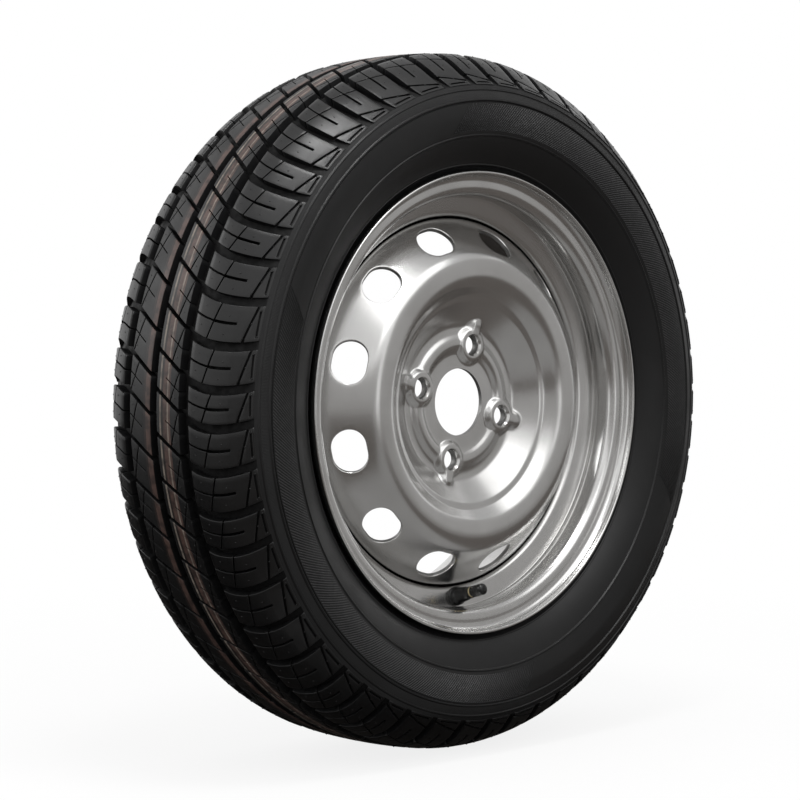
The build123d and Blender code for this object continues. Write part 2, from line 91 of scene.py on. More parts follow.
# Raised and sunk rings on the sidewall: radius, half width, height
WALL_RINGS = [
    (199.6, 1.0, 0.7),
    (223.6, 1.2, 0.9),
    (251.2, 0.6, -0.5),
    (252.8, 1.2, 1.0),
    (261.6, 1.1, 0.8),
]

# Tread
CENTRE_EDGE = 4.05
RIB_EDGE = 30.0
SHOULDER_EDGE = 39.5
RIB_SLOPE = math.radians(34.0)
BLOCK_SLOPE = math.radians(29.8)
BLOCK_BOW = 0.0115
RIB_CUT = 3.2
BLOCK_CUT = 6.4
TREAD_START = 75.2
NEAR_RIB_SHIFT = -15.0
FAR_RIB_SHIFT = -12.6
FAR_BLOCK_SHIFT = -22.4
PITCH_LENGTH = {"S": 6.0, "M": 6.85, "L": 7.4}
PITCH_ORDER = "MMSMLMSMMSMSMLMSMMSMLLLSSSMLMSMSMLMMSMSLMMSMLSMSMLMSML"
# The floor between the blocks: where it starts to rise, and its depth from there to the blocks' feet
FLOOR_RISE_Y = 53.0
FLOOR_RISE_SHARE = 0.95
SHOULDER_DEPTH = 5.0
FOOT_DEPTH = 0.9
SHOULDER_FLOOR_Y = 41.0
# Rounding of a block's edges: at a wide groove, at the middle groove, at its first cut, elsewhere
GROOVE_ROUND = 1.5
MIDDLE_ROUND = 0.5
FIRST_ROUND = 0.8
CUT_ROUND = 0.35
ROUND_DROP = 0.7
NEARLY_STRAIGHT = 0.05
SAME_PLACE = 0.01
# How deep a block's walls reach into the floor
BLOCK_SINK = 0.4
# How far the dash at a block's foot lies in from it
FOOT_DASH = 2.0
# Lines that let a block bend round the tyre
BEND_STEP = 5.0
BEND_SHARES = (0.17, 0.34, 0.66, 0.83)
# A nib's rings: radius and depth below the tread's face
PIP_LEVELS = [(0.62, 0.15), (0.5, -0.22), (0.22, -0.4)]
PIP_SIDES = 6

# Hatched panels on the sidewall, with angles in degrees
HATCH_STARTS = (157.0, 337.0)
HATCH_ARC = 121.0
HATCH_FADE = 20.0
HATCH_SLANT = 42.0
HATCH_INNER_R = 227.2
HATCH_OUTER_R = 250.2
HATCH_LIFT = 0.06
# Half width of a ridge, and its least width at a panel's end, as shares
RIDGE_HALF = 0.27
RIDGE_LEAST = 0.04

# Tyre sizes that follow from the ones above
LEAN = math.asin(SHOULDER_Y / CROWN_R)
ARC_Y = SHOULDER_Y - SHOULDER_R * math.sin(LEAN)
END_Y = ARC_Y + SHOULDER_R * math.sin(SHOULDER_TURN)
FOOT_Y = END_Y + CHAMFER * math.cos(SHOULDER_TURN)

# Points in the tyre's meshes
CASING_TURN = 324
FLOOR_POINTS = 22
WALL_POINTS = 46
RING_POINTS = 7
HATCH_POINTS = 7

# Rim section, with points as (radius, axial place)
FLANGE_R = 194.7
SEAT_R = 177.4
SEAT_END_R = 176.18
HUMP_R = 178.18
WELL_R = 160.0
RIM_HALF_WIDTH = 63.5
LIP_Y = 75.5
RIM_HALF = [
    (FLANGE_R, LIP_Y),
    (FLANGE_R, RIM_HALF_WIDTH),
    (SEAT_R, RIM_HALF_WIDTH),
    (SEAT_END_R, 49.5),
    (HUMP_R, 46.0),
]
RIM_WELL = [(HUMP_R, -40.2), (WELL_R, -35.12), (WELL_R, 4.0), (173.78, 14.0), (SEAT_END_R, 40.2)]
RIM_BENDS = [9.5, 6.5, 3.4, 3.4, 4.2, 3.8, 8.0, 8.0, 8.0, 3.4, 3.4, 6.5, 9.5]
RIM_STEP = 1.6
RIM_TURN = 240
# Angles of the points that round a sheet's edge
EDGE_SWING = np.radians(np.linspace(30, 150, 5))[:, None]

# Disc section, hub, bolt holes and vents
HUB_Y = -43.5
BORE_R = 28.55
CREST_Y = -69.9
SKIRT_R = 157.2
SKIRT_END_Y = -12.0
DISC_LINE = [
    (BORE_R, HUB_Y),
    (65.0, HUB_Y),
    (86.0, -58.3),
    (90.5, -59.7),
    (103.0, CREST_Y),
    (121.0, CREST_Y),
    (139.94, -52.8),
    (SKIRT_R, -34.0),
    (SKIRT_R, SKIRT_END_Y),
]
DISC_BENDS = [10.0, 7.0, 6.0, 21.0, 21.0, 330.0, 9.0]
DISC_STEP = 1.35
DISC_TURN = 360
FIRST_BOLT = 75.0
BOLT_R = 50.0
BOLT_HOLE_R = 7.5
BOLT_SEAT_R = 9.5
SEAT_DEPTH = 3.46
BOLTS = 4
VENTS = 12
VENT_R = 140.2
VENT_HALF = 14.5
VENT_STRAIGHT = 3.5
# A vent's rounded edge: distance outside the opening and depth below the face
VENT_EDGE = [(1.0, 0.0), (0.55, 0.06), (0.2, 0.28), (0.0, 0.75)]
# Relief of the hub: ring ridge, boss round each bolt hole, and rib from each boss out to the bowl
RELIEF_END_R = 82.0
RING_RISE = 3.2
RING_HALF = 7.6
BOSS_RISE = 4.7
BOSS_R = 13.4
BOSS_CLEAR_R = 14.2
HUB_RIB_RISE = 3.6
HUB_RIB_CLIMB = 0.17
HUB_RIB_HALF = 4.2
HUB_RIB_END = 68.0

# Weld beads
WELDS = 8
WELD_ARC = math.radians(24.0)
WELD_TOP_R = 157.15
WELD_TOP_Y = -8.1
WELD_LEG_R = 3.2
WELD_LEG_Y = 3.85
WELD_RIPPLE = 0.16
WELD_RIPPLES = 24
WELD_LOWEST_Y = SKIRT_END_Y + 0.05
# A bead's swell, and how much of it goes inward and how much along the axle
WELD_SWELL = 0.35
SWELL_INWARD = 0.7
SWELL_ALONG = 0.6
# How fast a bead's ends taper, from which share of its size, and how far they drop
WELD_TAPER = 30.0
WELD_END_SHARE = 0.15
WELD_END_DROP = 3.0

# Valve, with heights along its axis from the rim's outer face
VALVE_BASE = Vector((0.0, -39.7636, -166.2))
VALVE_AXIS = Vector((0.0, -0.963163, 0.26892))
STEM_FOOT = -8.4
BODY_TOP = 20.0
RING_TOP = 21.3
STEM_TOP = 32.6
STEM_R = 2.9
AIR_R = 1.7
RING_R = 4.7
THREAD_R = 3.85
THREAD_DEPTH = 0.42
THREAD_FADE = 0.8
THREAD_STEP = 0.09
CORE_R = 2.7
CORE_SEAT_R = 2.15
CAP_R = 4.9
CAP_BORE_R = 3.97
CAP_FOOT = 21.6
CAP_SHOULDER = 33.1
CAP_ROOF = 33.7
CAP_TOP = 35.9
FLUTES = 30
FLUTE_DEPTH = 0.11
FLUTE_END = 32.4
SPRING_LOW = 19.5
SPRING_HIGH = 24.75
SPRING_R = 1.07
SPRING_WIRE_R = 0.17
SPRING_TURNS = 5
SPRING_STEPS = 24
SPRING_SIDES = 8
# Points round the valve's pieces
BODY_POINTS = 64
STEM_POINTS = 72
CAP_POINTS = 180

# Finishes
METAL = {"metallic": 1.0, "gloss": 0.5}
# Small parts: roughness, scale and strength of the fine grain, dust on top, and any metal and gloss
FINISHES = {
    # Darker rubber of the tread's floor: painted shade in the grooves
    "groove_shade_rubber": dict(roughness=0.7, fine=1500.0, strength=0.3, veil=0.08),
    # Lighter rubber of the hatch ridges: painted highlight
    "ridge_highlight_rubber": dict(roughness=0.5, fine=1500.0, strength=0.1, veil=0.1),
    "cut_rubber": dict(roughness=0.5, fine=1500.0, strength=0.2, veil=0.03),
    # Darker paint of the hole walls: partly painted shade inside the holes, partly the rough cut edge
    "punched_edge_shade": dict(roughness=0.5, fine=2600.0, strength=0.1, veil=0.05, **METAL),
    "valve_rubber": dict(roughness=0.34, fine=2500.0, strength=0.1, veil=0.03, gloss=0.55),
    "turned_brass": dict(roughness=0.34, fine=4000.0, strength=0.15, veil=0.05, **METAL),
    "cap_plastic": dict(roughness=0.28, fine=3000.0, strength=0.1, veil=0.03, gloss=0.5),
    "seal_rubber": dict(roughness=0.55, fine=3500.0, strength=0.2, veil=0.05),
    "spring_steel": dict(roughness=0.22, fine=5000.0, strength=0.1, veil=0.05, **METAL),
}
SEAL_RED = (0.10, 0.03, 0.02)
STEEL = (0.58, 0.58, 0.60)
DUST = (0.12, 0.115, 0.105)
# Fine serrations round the sidewall: how many, and the band's middle radius and half width
SERRATIONS = 1440.0
SERRATED_R = 257.4
SERRATED_HALF = 3.6
# Paint lies only on the tread's face: none below the first radius, all of it above the second
PAINT_LOW_R = 294.4
PAINT_HIGH_R = 295.2
# Faint rings of the spun grain, in radians for each millimetre
SPUN_RINGS = 2.1
# Painted shade in the seam between disc and rim: axial place, half width and the radii over which it
# starts
SEAM_Y = -33.2
SEAM_HALF = 1.7
SEAM_START_R = 152.6
SEAM_FULL_R = 156.4

# Stage, in metres
FLOOR_SIZE = 14.0
FLOOR_GAP = 0.0005
CARD_GAP = 0.002
# The floor runs out into the white surround between these distances, from this share of white
SHADOW_REACH = 0.3
WHITE_REACH = 1.3
WHITE_SHARE = 0.84
# Light that the surround gives to dull faces
SOFT_LIGHT = 0.8
# Camera, with its sensor and lens in millimetres and its place in metres
SENSOR = 36.0
LENS = 108.0
CAMERA_PLACE = Vector((-1.46439, -1.46205, 0.07915))
CAMERA_RIGHT = Vector((0.7131, -0.7011, 0.0))
CAMERA_UP = Vector((0.0266, 0.0271, 0.9993))


class TyreLooks(bpy.types.PropertyGroup):
    """Sizes and colours of the tyre."""

    radius: FloatProperty(
        name="Tread radius",
        description="Radius of the tread in the middle plane",
        default=0.296,
        unit="LENGTH",
    )
    tread_depth: FloatProperty(
        name="Tread depth",
        description="Depth of the grooves that run round the tread",
        default=0.008,
        unit="LENGTH",
    )
    sipe_width: FloatProperty(
        name="Sipe width",
        description="Width of the thin slits in the tread blocks",
        default=0.0008,
        unit="LENGTH",
    )
    slot_width: FloatProperty(
        name="Slot width",
        description="Width of the blind slot in each shoulder block",
        default=0.0021,
        unit="LENGTH",
    )
    hatch_pitch: FloatProperty(
        name="Hatch pitch",
        description="Angle between two fine ridges on the sidewall",
        default=math.radians(0.62),
        subtype="ANGLE",
    )
    hatch_height: FloatProperty(
        name="Hatch height",
        description="Height of the fine ridges on the sidewall",
        default=0.0004,
        unit="LENGTH",
    )
    rubber: FloatVectorProperty(
        name="Rubber",
        description="Colour of the moulded rubber",
        default=(0.0060, 0.0060, 0.0064),
        subtype="COLOR",
    )
    # Painted highlight: the ridges' lighter tone stands in for the light that their flanks catch
    ridge: FloatVectorProperty(
        name="Ridges",
        description="Colour of the fine ridges on the sidewall",
        default=(0.046, 0.046, 0.047),
        subtype="COLOR",
    )
    tread_dust: FloatVectorProperty(
        name="Tread bloom",
        description="Dull tone of the unused tread face",
        default=(0.024, 0.0225, 0.0205),
        subtype="COLOR",
    )
    stripe: FloatVectorProperty(
        name="Stripe",
        description="Colour of the faint paint stripes on the middle ribs",
        default=(0.110, 0.063, 0.051),
        subtype="COLOR",
    )
    pale_stripe: FloatVectorProperty(
        name="Pale stripe",
        description="Colour of the thin pale stripes on the near rib",
        default=(0.25, 0.21, 0.175),
        subtype="COLOR",
    )


class WheelLooks(bpy.types.PropertyGroup):
    """Sizes and colours of the steel wheel."""

    rim_sheet: FloatProperty(
        name="Rim sheet",
        description="Thickness of the rolled rim",
        default=0.0028,
        unit="LENGTH",
    )
    disc_sheet: FloatProperty(
        name="Disc sheet",
        description="Thickness of the pressed disc",
        default=0.0035,
        unit="LENGTH",
    )
    paint: FloatVectorProperty(
        name="Paint",
        description="Colour of the silver paint",
        default=(0.68, 0.676, 0.668),
        subtype="COLOR",
    )
    paint_shade: FloatVectorProperty(
        name="Paint in shade",
        description="Tone of the paint where the coat is thin",
        default=(0.60, 0.595, 0.585),
        subtype="COLOR",
    )
    # Painted shade: a dark tone that stands in for the shade down in the gap between the disc and the
    # rim
    painted_seam_shade: FloatVectorProperty(
        name="Seam",
        description="Dark tone down in the seam between the disc and the rim",
        default=(0.035, 0.032, 0.030),
        subtype="COLOR",
    )


class ValveLooks(bpy.types.PropertyGroup):
    """Sizes and colours of the valve."""

    thread_pitch: FloatProperty(
        name="Thread pitch",
        description="Pitch of the thread on the stem",
        default=0.000794,
        unit="LENGTH",
    )
    rubber: FloatVectorProperty(
        name="Valve rubber",
        description="Colour of the valve's rubber body",
        default=(0.0022, 0.0022, 0.0025),
        subtype="COLOR",
    )
    brass: FloatVectorProperty(
        name="Brass",
        description="Colour of the stem and the core",
        default=(0.97, 0.82, 0.50),
        subtype="COLOR",
    )
    cap: FloatVectorProperty(
        name="Cap",
        description="Colour of the screw cap",
        default=(0.0020, 0.0020, 0.0022),
        subtype="COLOR",
    )


class StageLooks(bpy.types.PropertyGroup):
    """Colours of the floor and the cards, and power of the lamps."""

    floor: FloatVectorProperty(
        name="Floor",
        description="Colour of the floor",
        default=(0.92, 0.92, 0.92),
        subtype="COLOR",
    )
    shade: FloatVectorProperty(
        name="Dark card",
        description="Colour of the cards on the floor that the metal and the tread mirror",
        default=(0.128, 0.116, 0.108),
        subtype="COLOR",
    )
    room: FloatVectorProperty(
        name="Grey card",
        description="Colour of the cards round the camera that the metal mirrors",
        default=(0.40, 0.395, 0.39),
        subtype="COLOR",
    )
    ceiling: FloatVectorProperty(
        name="Ceiling card",
        description="Colour of the cards over the stage that the metal and the tread mirror",
        default=(0.80, 0.80, 0.80),
        subtype="COLOR",
    )
    key: FloatProperty(
        name="Key light",
        description="Power of the large lamp in front of and over the wheel",
        default=9.7,
        unit="POWER",
    )
    top: FloatProperty(
        name="Top light",
        description="Power of the lamp over the tread",
        default=8.0,
        unit="POWER",
    )
    back: FloatProperty(
        name="Back light",
        description="Power of the lamp behind the tread that draws its edges",
        default=4.5,
        unit="POWER",
    )


# Meshes


def make_object(name, verts, faces, materials, smooth=40.0, finish=None):
    """A new mesh from millimetre points, shaded smooth up to an angle, with a finish for each face."""
    mesh = bpy.data.meshes.new(name)
    mesh.from_pydata((np.asarray(verts, float) * MM).tolist(), [], faces)
    for material in materials:
        mesh.materials.append(material)
    if finish is not None:
        mesh.polygons.foreach_set("material_index", np.asarray(finish, np.int32))
    mesh.validate()
    mesh.shade_smooth()
    mesh.set_sharp_from_angle(angle=math.radians(smooth))
    made = bpy.data.objects.new(name, mesh)
    bpy.context.scene.collection.objects.link(made)
    return made


def rides(piece, body, slot, *nodes):
    """Fixes a piece to a body and hides the solids it stands for. The finish named in slot is not used.
    """
    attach(piece, body)
    if nodes:
        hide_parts(*nodes)
    return piece


def round_axle(r, y, angle):
    """Points at a radius, an axial place and an angle round the axle."""
    r, y, angle = np.broadcast_arrays(r, y, angle)
    return np.stack([r * np.cos(angle), y, r * np.sin(angle)], -1)


def grid_faces(rows, columns, wrap_rows=False, wrap_columns=False, start=0):
    """Quads of a grid of points, row after row."""
    faces = []
    for i in range(rows if wrap_rows else rows - 1):
        for j in range(columns if wrap_columns else columns - 1):
            k = (j + 1) % columns
            low = start + i * columns
            high = start + (i + 1) % rows * columns
            faces.append((low + j, low + k, high + k, high + j))
    return faces


def full_turn(count):
    """Evenly spaced angles once round an axis."""
    return np.arange(count) * 2 * math.pi / count


def lathe(name, line, count, materials, smooth=40.0, finish=None):
    """A closed section turned once round the axle, with a finish for each of its stretches."""
    points = round_axle(line[:, 0], line[:, 1], full_turn(count)[:, None])
    faces = grid_faces(count, len(line), wrap_rows=True, wrap_columns=True)
    if finish is not None:
        finish = np.tile(finish, count)
    return make_object(name, points.reshape(-1, 3), faces, materials, smooth, finish)


# Tyre


def tread_radius():
    """Radius of the tread in the middle plane."""
    return bpy.context.scene.tyre_looks.radius / MM


def tread_point(y, depth):
    """Radius and axial place of a point at a depth below the tread's face."""
    top = tread_radius()
    across = np.abs(y)
    sine = np.minimum((across - ARC_Y) / SHOULDER_R, math.sin(SHOULDER_TURN))
    lean = np.where(across < SHOULDER_Y, np.arcsin(across / CROWN_R), np.arcsin(sine))
    crown = top - CROWN_R + CROWN_R * np.cos(lean)
    arc_axis = top - CROWN_R + (CROWN_R - SHOULDER_R) * math.cos(LEAN)
    fall = np.maximum(across - END_Y, 0) * math.tan(SHOULDER_TURN)
    shoulder = arc_axis + SHOULDER_R * np.cos(lean) - fall
    r = np.where(across < SHOULDER_Y, crown, shoulder) - depth * np.cos(lean)
    return r, np.sign(y) * (across - depth * np.sin(lean))


def floor_depth(y):
    """How far the floor between the blocks lies below the tread's face."""
    deep = bpy.context.scene.tyre_looks.tread_depth / MM
    depths = [deep, FLOOR_RISE_SHARE * deep, SHOULDER_DEPTH, FOOT_DEPTH]
    return np.interp(np.abs(y), [0, FLOOR_RISE_Y, END_Y, FOOT_Y], depths)


def circle_through(a, b, c):
    """Centre and radius of the circle through three points."""
    (ax, ay), (bx, by), (cx, cy) = a, b, c
    d = 2 * (ax * (by - cy) + bx * (cy - ay) + cx * (ay - by))
    sa, sb, sc = ax * ax + ay * ay, bx * bx + by * by, cx * cx + cy * cy
    ux = (sa * (by - cy) + sb * (cy - ay) + sc * (ay - by)) / d
    uy = (sa * (cx - bx) + sb * (ax - cx) + sc * (bx - ax)) / d
    return ux, uy, math.hypot(ax - ux, ay - uy)


def wall_end():
    """Upper end of the sidewall, just below the feet of the shoulder blocks."""
    r, y = tread_point(np.array([FOOT_Y]), 0.0)
    return float(r[0]) - SHOULDER_STEP, float(y[0]) - SHOULDER_STEP


def wall_y(r):
    """Axial place of the smooth sidewall at a radius."""
    low = circle_through(BEAD_LEAVE, WALL_LOW, WALL_BULGE)
    high = circle_through(WALL_BULGE, WALL_HIGH, wall_end())
    below = r < WALL_BULGE[0]
    rc = np.where(below, low[0], high[0])
    yc = np.where(below, low[1], high[1])
    size = np.where(below, low[2], high[2])
    return yc + np.sqrt(np.maximum(size**2 - (r - rc) ** 2, 0))


def ring_relief(r):
    """Height of the raised and sunk rings on the sidewall."""
    height = np.zeros_like(r)
    for middle, half, rise in WALL_RINGS:
        height += rise * np.clip(1.5 * (1 - np.abs(r - middle) / half), 0, 1)
    return height


def casing_half():
    """Half section of the tyre below its blocks, from the tread's middle to the bead and back."""
    middle = np.linspace(0, SHOULDER_EDGE, FLOOR_POINTS)
    shoulder = np.linspace(SHOULDER_FLOOR_Y, FOOT_Y, FLOOR_POINTS)
    across = np.concatenate([middle, shoulder])
    floor = np.stack(tread_point(across, floor_depth(across)), 1)
    top = wall_end()[0]
    samples = [np.linspace(BEAD_LEAVE[0], top, WALL_POINTS)]
    for ring, half, _ in WALL_RINGS:
        samples.append(ring + half * np.linspace(-1, 1, RING_POINTS))
    r = np.unique(np.clip(np.concatenate(samples), BEAD_LEAVE[0], top))[::-1]
    wall = np.stack([r, wall_y(r) + ring_relief(r)], 1)
    return np.concatenate([floor, wall, BEAD_LINE, LINER_LINE]), len(floor)


def build_casing(wall, groove):
    """Body of the tyre: sidewalls, beads, liner and the floor of the tread."""
    half, floor = casing_half()
    other = half[-2:0:-1] * [1, -1]
    line = np.concatenate([half, other])
    stretch = np.arange(len(line))
    # The tread's floor takes a darker rubber: painted shade down in the grooves between the blocks
    in_groove = (stretch < floor) | (stretch >= len(line) - floor)
    return lathe("tyre_casing", line, CASING_TURN, [wall, groove], smooth=32.0, finish=in_groove)


def build_hatching(ridge, valley):
    """Fine slanted ridges in two long panels on each sidewall, thinning out at the panels' ends."""
    looks = bpy.context.scene.tyre_looks
    count = int(math.radians(HATCH_ARC) / looks.hatch_pitch)
    middle = np.arange(count) + 0.5
    reach = np.minimum(middle, middle[::-1]) * looks.hatch_pitch / math.radians(HATCH_FADE)
    half = RIDGE_HALF * np.clip(RIDGE_LEAST + reach, 0, 1)
    turn = (middle[:, None] + half[:, None] * [-1.0, -0.5, 0.5, 1.0]).ravel() * looks.hatch_pitch
    lift = HATCH_LIFT + looks.hatch_height / MM * np.tile([0, 1, 1, 0], count)
    radii = np.linspace(HATCH_INNER_R, HATCH_OUTER_R, HATCH_POINTS)
    slant = (radii[-1] - radii) * math.tan(math.radians(HATCH_SLANT)) / radii.mean()
    size = len(turn) * len(radii)
    verts, faces = [], []
    for side in (-1, 1):
        y = side * (wall_y(radii) + lift[:, None])
        for first in HATCH_STARTS:
            angle = math.radians(first) + turn[:, None] - side * slant
            quads = grid_faces(len(turn), len(radii), start=len(verts) * size)
            faces += [quad[::side] for quad in quads]
            verts.append(round_axle(radii, y, angle).reshape(-1, 3))
    # Ridge flanks and tops take the lighter ridge finish, a painted highlight; the gaps between take
    # the wall's rubber
    low = np.repeat(np.arange(len(turn) - 1) % 4 == 3, len(radii) - 1)
    finish = np.tile(low, len(verts))
    verts = np.concatenate(verts)
    return make_object("sidewall_hatching", verts, faces, [ridge, valley], smooth=15.0, finish=finish)


def pitch_angles():
    """Start angle and length in degrees of every tread pitch, with its letter."""
    scale = 360 / sum(PITCH_LENGTH[p] for p in PITCH_ORDER)
    angle = TREAD_START
    for letter in PITCH_ORDER:
        yield letter, angle, PITCH_LENGTH[letter] * scale
        angle += PITCH_LENGTH[letter] * scale


class Row:
    """One row of blocks round the tread: its edges, the lean of its cuts and its slits."""

    def __init__(self, inner, outer, slope, bow, anchor, shift, cut, slits, pips):
        self.inner = inner
        self.outer = outer
        self.slope = slope
        self.bow = bow
        self.anchor = anchor
        self.shift = shift
        self.gap = cut / math.cos(slope)
        self.slits = slits
        self.pips = pips

    def cut_place(self, y):
        """Where the cut at the start of a pitch runs at an axial place."""
        reach = y - self.anchor
        bow = math.copysign(self.bow, self.inner)
        return self.shift - reach * math.tan(self.slope) + bow * reach**2


def tread_rows():
    """The four rows. A slit is (start share, start y, end share, end y, width), a nib (share, y)."""
    looks = bpy.context.scene.tyre_looks
    thin = looks.sipe_width / MM
    wide = looks.slot_width / MM
    foot = FOOT_Y - FOOT_DASH
    block_slits = [
        (0.5, 38.0, 0.5, 56.5, thin * 1.5),
        (0.5, 56.0, 0.5, 71.0, wide),
        (-0.1, 60.2, 1.1, 51.8, thin),
        (-0.1, 82.1, 1.1, 74.8, thin * 1.7),
        (0.16, foot, 0.9, foot, thin * 1.5),
    ]
    rib_slits = [(-0.1, 29.8, 1.1, 19.6, thin), (0.5, 32.0, 0.5, 14.5, thin)]
    block_pips = [(0.2, 48), (0.72, 46), (0.3, 66), (0.8, 64), (0.12, 83), (0.88, 83), (0.5, 79)]
    rib_pips = [(0.2, 26.5), (0.8, 25.5)]

    def far(slits):
        return [(1 - a, y, 1 - b, z, width) for a, y, b, z, width in slits]

    def near(slits):
        return [(a, -y, b, -z, width) for a, y, b, z, width in slits]

    def near_side(pips):
        return [(share, -y) for share, y in pips]

    def block_row(side, shift, slits, pips):
        inner = side * SHOULDER_EDGE
        return Row(inner, side * FOOT_Y, BLOCK_SLOPE, BLOCK_BOW, inner, shift, BLOCK_CUT, slits, pips)

    def rib_row(side, shift, slits, pips):
        inner, outer = side * CENTRE_EDGE, side * RIB_EDGE
        return Row(inner, outer, RIB_SLOPE, 0.0, (inner + outer) / 2, shift, RIB_CUT, slits, pips)

    return [
        block_row(-1, 0.0, near(block_slits), near_side(block_pips)),
        rib_row(-1, NEAR_RIB_SHIFT, near(rib_slits), near_side(rib_pips)),
        rib_row(1, FAR_RIB_SHIFT, far(rib_slits), rib_pips),
        block_row(1, FAR_BLOCK_SHIFT, far(block_slits), block_pips),
    ]


def split(flat, point, along):
    """Cuts every face of a flat mesh by an endless line."""
    bmesh.ops.bisect_plane(
        flat,
        geom=flat.verts[:] + flat.edges[:] + flat.faces[:],
        dist=1e-4,
        plane_co=(point[0], point[1], 0),
        plane_no=(-along[1], along[0], 0),
    )


def slit_frame(slit, low, width):
    """Start, direction, length and half width of a slit in block coordinates."""
    a, y, b, z, wide = slit
    start = Vector((low + a * width, y))
    end = Vector((low + b * width, z))
    way = (end - start).normalized()
    return start, way, (end - start).length, wide / 2


def inside_slit(point, slits):
    """True where a point lies in one of the slits."""
    for start, way, length, half in slits:
        step = point - start
        along = step.dot(way)
        if 0 <= along <= length and abs(step.x * way.y - step.y * way.x) < half:
            return True
    return False


def flat_block(row, length):
    """One block laid flat, with its slits open."""
    low, width = row.gap / 2, length - row.gap
    flat = bmesh.new()
    corners = [(low, row.inner), (low + width, row.inner), (low + width, row.outer), (low, row.outer)]
    flat.faces.new([flat.verts.new((u, y, 0)) for u, y in corners])
    steps = max(3, round(abs(row.outer - row.inner) / BEND_STEP))
    for y in np.linspace(row.inner, row.outer, steps + 1)[1:-1]:
        split(flat, (0, y), (1, 0))
    for share in BEND_SHARES:
        split(flat, (low + share * width, 0), (0, 1))
    slits = [slit_frame(s, low, width) for s in row.slits]
    for start, way, reach, half in slits:
        side = Vector((-way.y, way.x))
        split(flat, start + side * half, way)
        split(flat, start - side * half, way)
        for end in (start, start + way * reach):
            if low < end.x < low + width:
                split(flat, end, side)
    gone = [f for f in flat.faces if inside_slit(f.calc_center_median().xy, slits)]
    bmesh.ops.delete(flat, geom=gone, context="FACES")
    return flat


def edge_softness(a, b, row):
    """Width of the rounding along one edge of a block."""
    if max(abs(a.y - row.inner), abs(b.y - row.inner)) < SAME_PLACE:
        return GROOVE_ROUND if abs(row.inner) > RIB_EDGE else MIDDLE_ROUND
    first_cut = max(abs(a.x - row.gap / 2), abs(b.x - row.gap / 2)) < SAME_PLACE
    return FIRST_ROUND if first_cut else CUT_ROUND


def corner_shift(normals, widths):
    """How far a corner moves in so that both of its edges are set back by their widths."""
    (n, m), (p, q) = normals, widths
    cross = n.x * m.y - n.y * m.x
    if abs(cross) < NEARLY_STRAIGHT:
        return n * (p + q) / 2
    return Vector(((p * m.y - q * n.y) / cross, (q * n.x - p * m.x) / cross))


def stand_block(row, length):
    """A block with rounded edges: points (along, y, depth), floor marks, faces and their finish."""
    flat = flat_block(row, length)
    bmesh.ops.recalc_face_normals(flat, faces=flat.faces[:])
    if flat.faces[:][0].normal.z < 0:
        bmesh.ops.reverse_faces(flat, faces=flat.faces[:])
    flat.verts.index_update()
    points = [Vector((v.co.x, v.co.y, 0)) for v in flat.verts]
    faces = [[v.index for v in f.verts] for f in flat.faces]
    rims = {}
    for edge in flat.edges:
        if len(edge.link_faces) != 1:
            continue
        loop = edge.link_loops[0]
        a, b = loop.vert, loop.link_loop_next.vert
        way = (b.co - a.co).xy.normalized()
        out = Vector((way.y, -way.x))
        soft = edge_softness(a.co, b.co, row)
        rims.setdefault(a.index, {})["next"] = (b.index, out, soft)
        rims.setdefault(b.index, {})["last"] = (a.index, out, soft)
    flat.free()
    middle, low, floor = {}, {}, set()
    base = [p.copy() for p in points]
    for index, ends in rims.items():
        normals = (ends["last"][1], ends["next"][1])
        widths = (ends["last"][2], ends["next"][2])
        back = corner_shift(normals, widths)
        points[index] = base[index] - Vector((back.x, back.y, 0))
        middle[index] = len(points)
        points.append(base[index] + Vector((0, 0, ROUND_DROP * max(widths))))
        low[index] = len(points)
        floor.add(len(points))
        points.append(base[index].copy())
    walls = []
    for index, ends in rims.items():
        other = ends["next"][0]
        faces.append([other, index, middle[index], middle[other]])
        walls.append([middle[other], middle[index], low[index], low[other]])
    marks = np.array([i in floor for i in range(len(points))])
    finish = [0] * len(faces) + [1] * len(walls)
    return np.array([list(p) for p in points]), marks, faces + walls, finish


def bend_round(row, block, marks, angle):
    """Bends a flat block round the tyre at a pitch's start angle."""
    y = block[:, 1]
    along = block[:, 0] + row.cut_place(y)
    depth = np.where(marks, floor_depth(y) + BLOCK_SINK, block[:, 2])
    r, across = tread_point(y, depth)
    return round_axle(r, across, math.radians(angle) + along / tread_radius())


def build_row(name, row, materials):
    """All blocks of one row in one object."""
    kinds, verts, faces, finish, count = {}, [], [], [], 0
    for letter, angle, degrees in pitch_angles():
        if letter not in kinds:
            kinds[letter] = stand_block(row, math.radians(degrees) * tread_radius())
        block, marks, polygons, kind = kinds[letter]
        verts.append(bend_round(row, block, marks, angle))
        faces += [[i + count for i in polygon] for polygon in polygons]
        finish += kind
        count += len(block)
    made = make_object(name, np.concatenate(verts), faces, materials, smooth=60.0, finish=finish)
    made.modifiers.new("even_shading", "WEIGHTED_NORMAL").keep_sharp = True
    return made


def build_pips(rows, material):
    """Small nibs that the mould's air vents leave on the blocks."""
    size, depth = (np.repeat(column, PIP_SIDES) for column in zip(*PIP_LEVELS))
    turn = np.tile(full_turn(PIP_SIDES), len(PIP_LEVELS))
    on_face = np.zeros(len(turn), bool)
    verts, faces = [], []
    for row in rows:
        for _, angle, degrees in pitch_angles():
            width = math.radians(degrees) * tread_radius() - row.gap
            for share, y in row.pips:
                start = len(verts) * len(turn)
                along = row.gap / 2 + share * width + size * np.cos(turn)
                pip = np.stack([along, y + size * np.sin(turn), depth], 1)
                verts.append(bend_round(row, pip, on_face, angle))
                faces += grid_faces(len(PIP_LEVELS), PIP_SIDES, wrap_columns=True, start=start)
                faces.append(list(range(start + len(turn) - PIP_SIDES, start + len(turn))))
    return make_object("mould_pips", np.concatenate(verts), faces, [material], smooth=60.0)


# Steel wheel


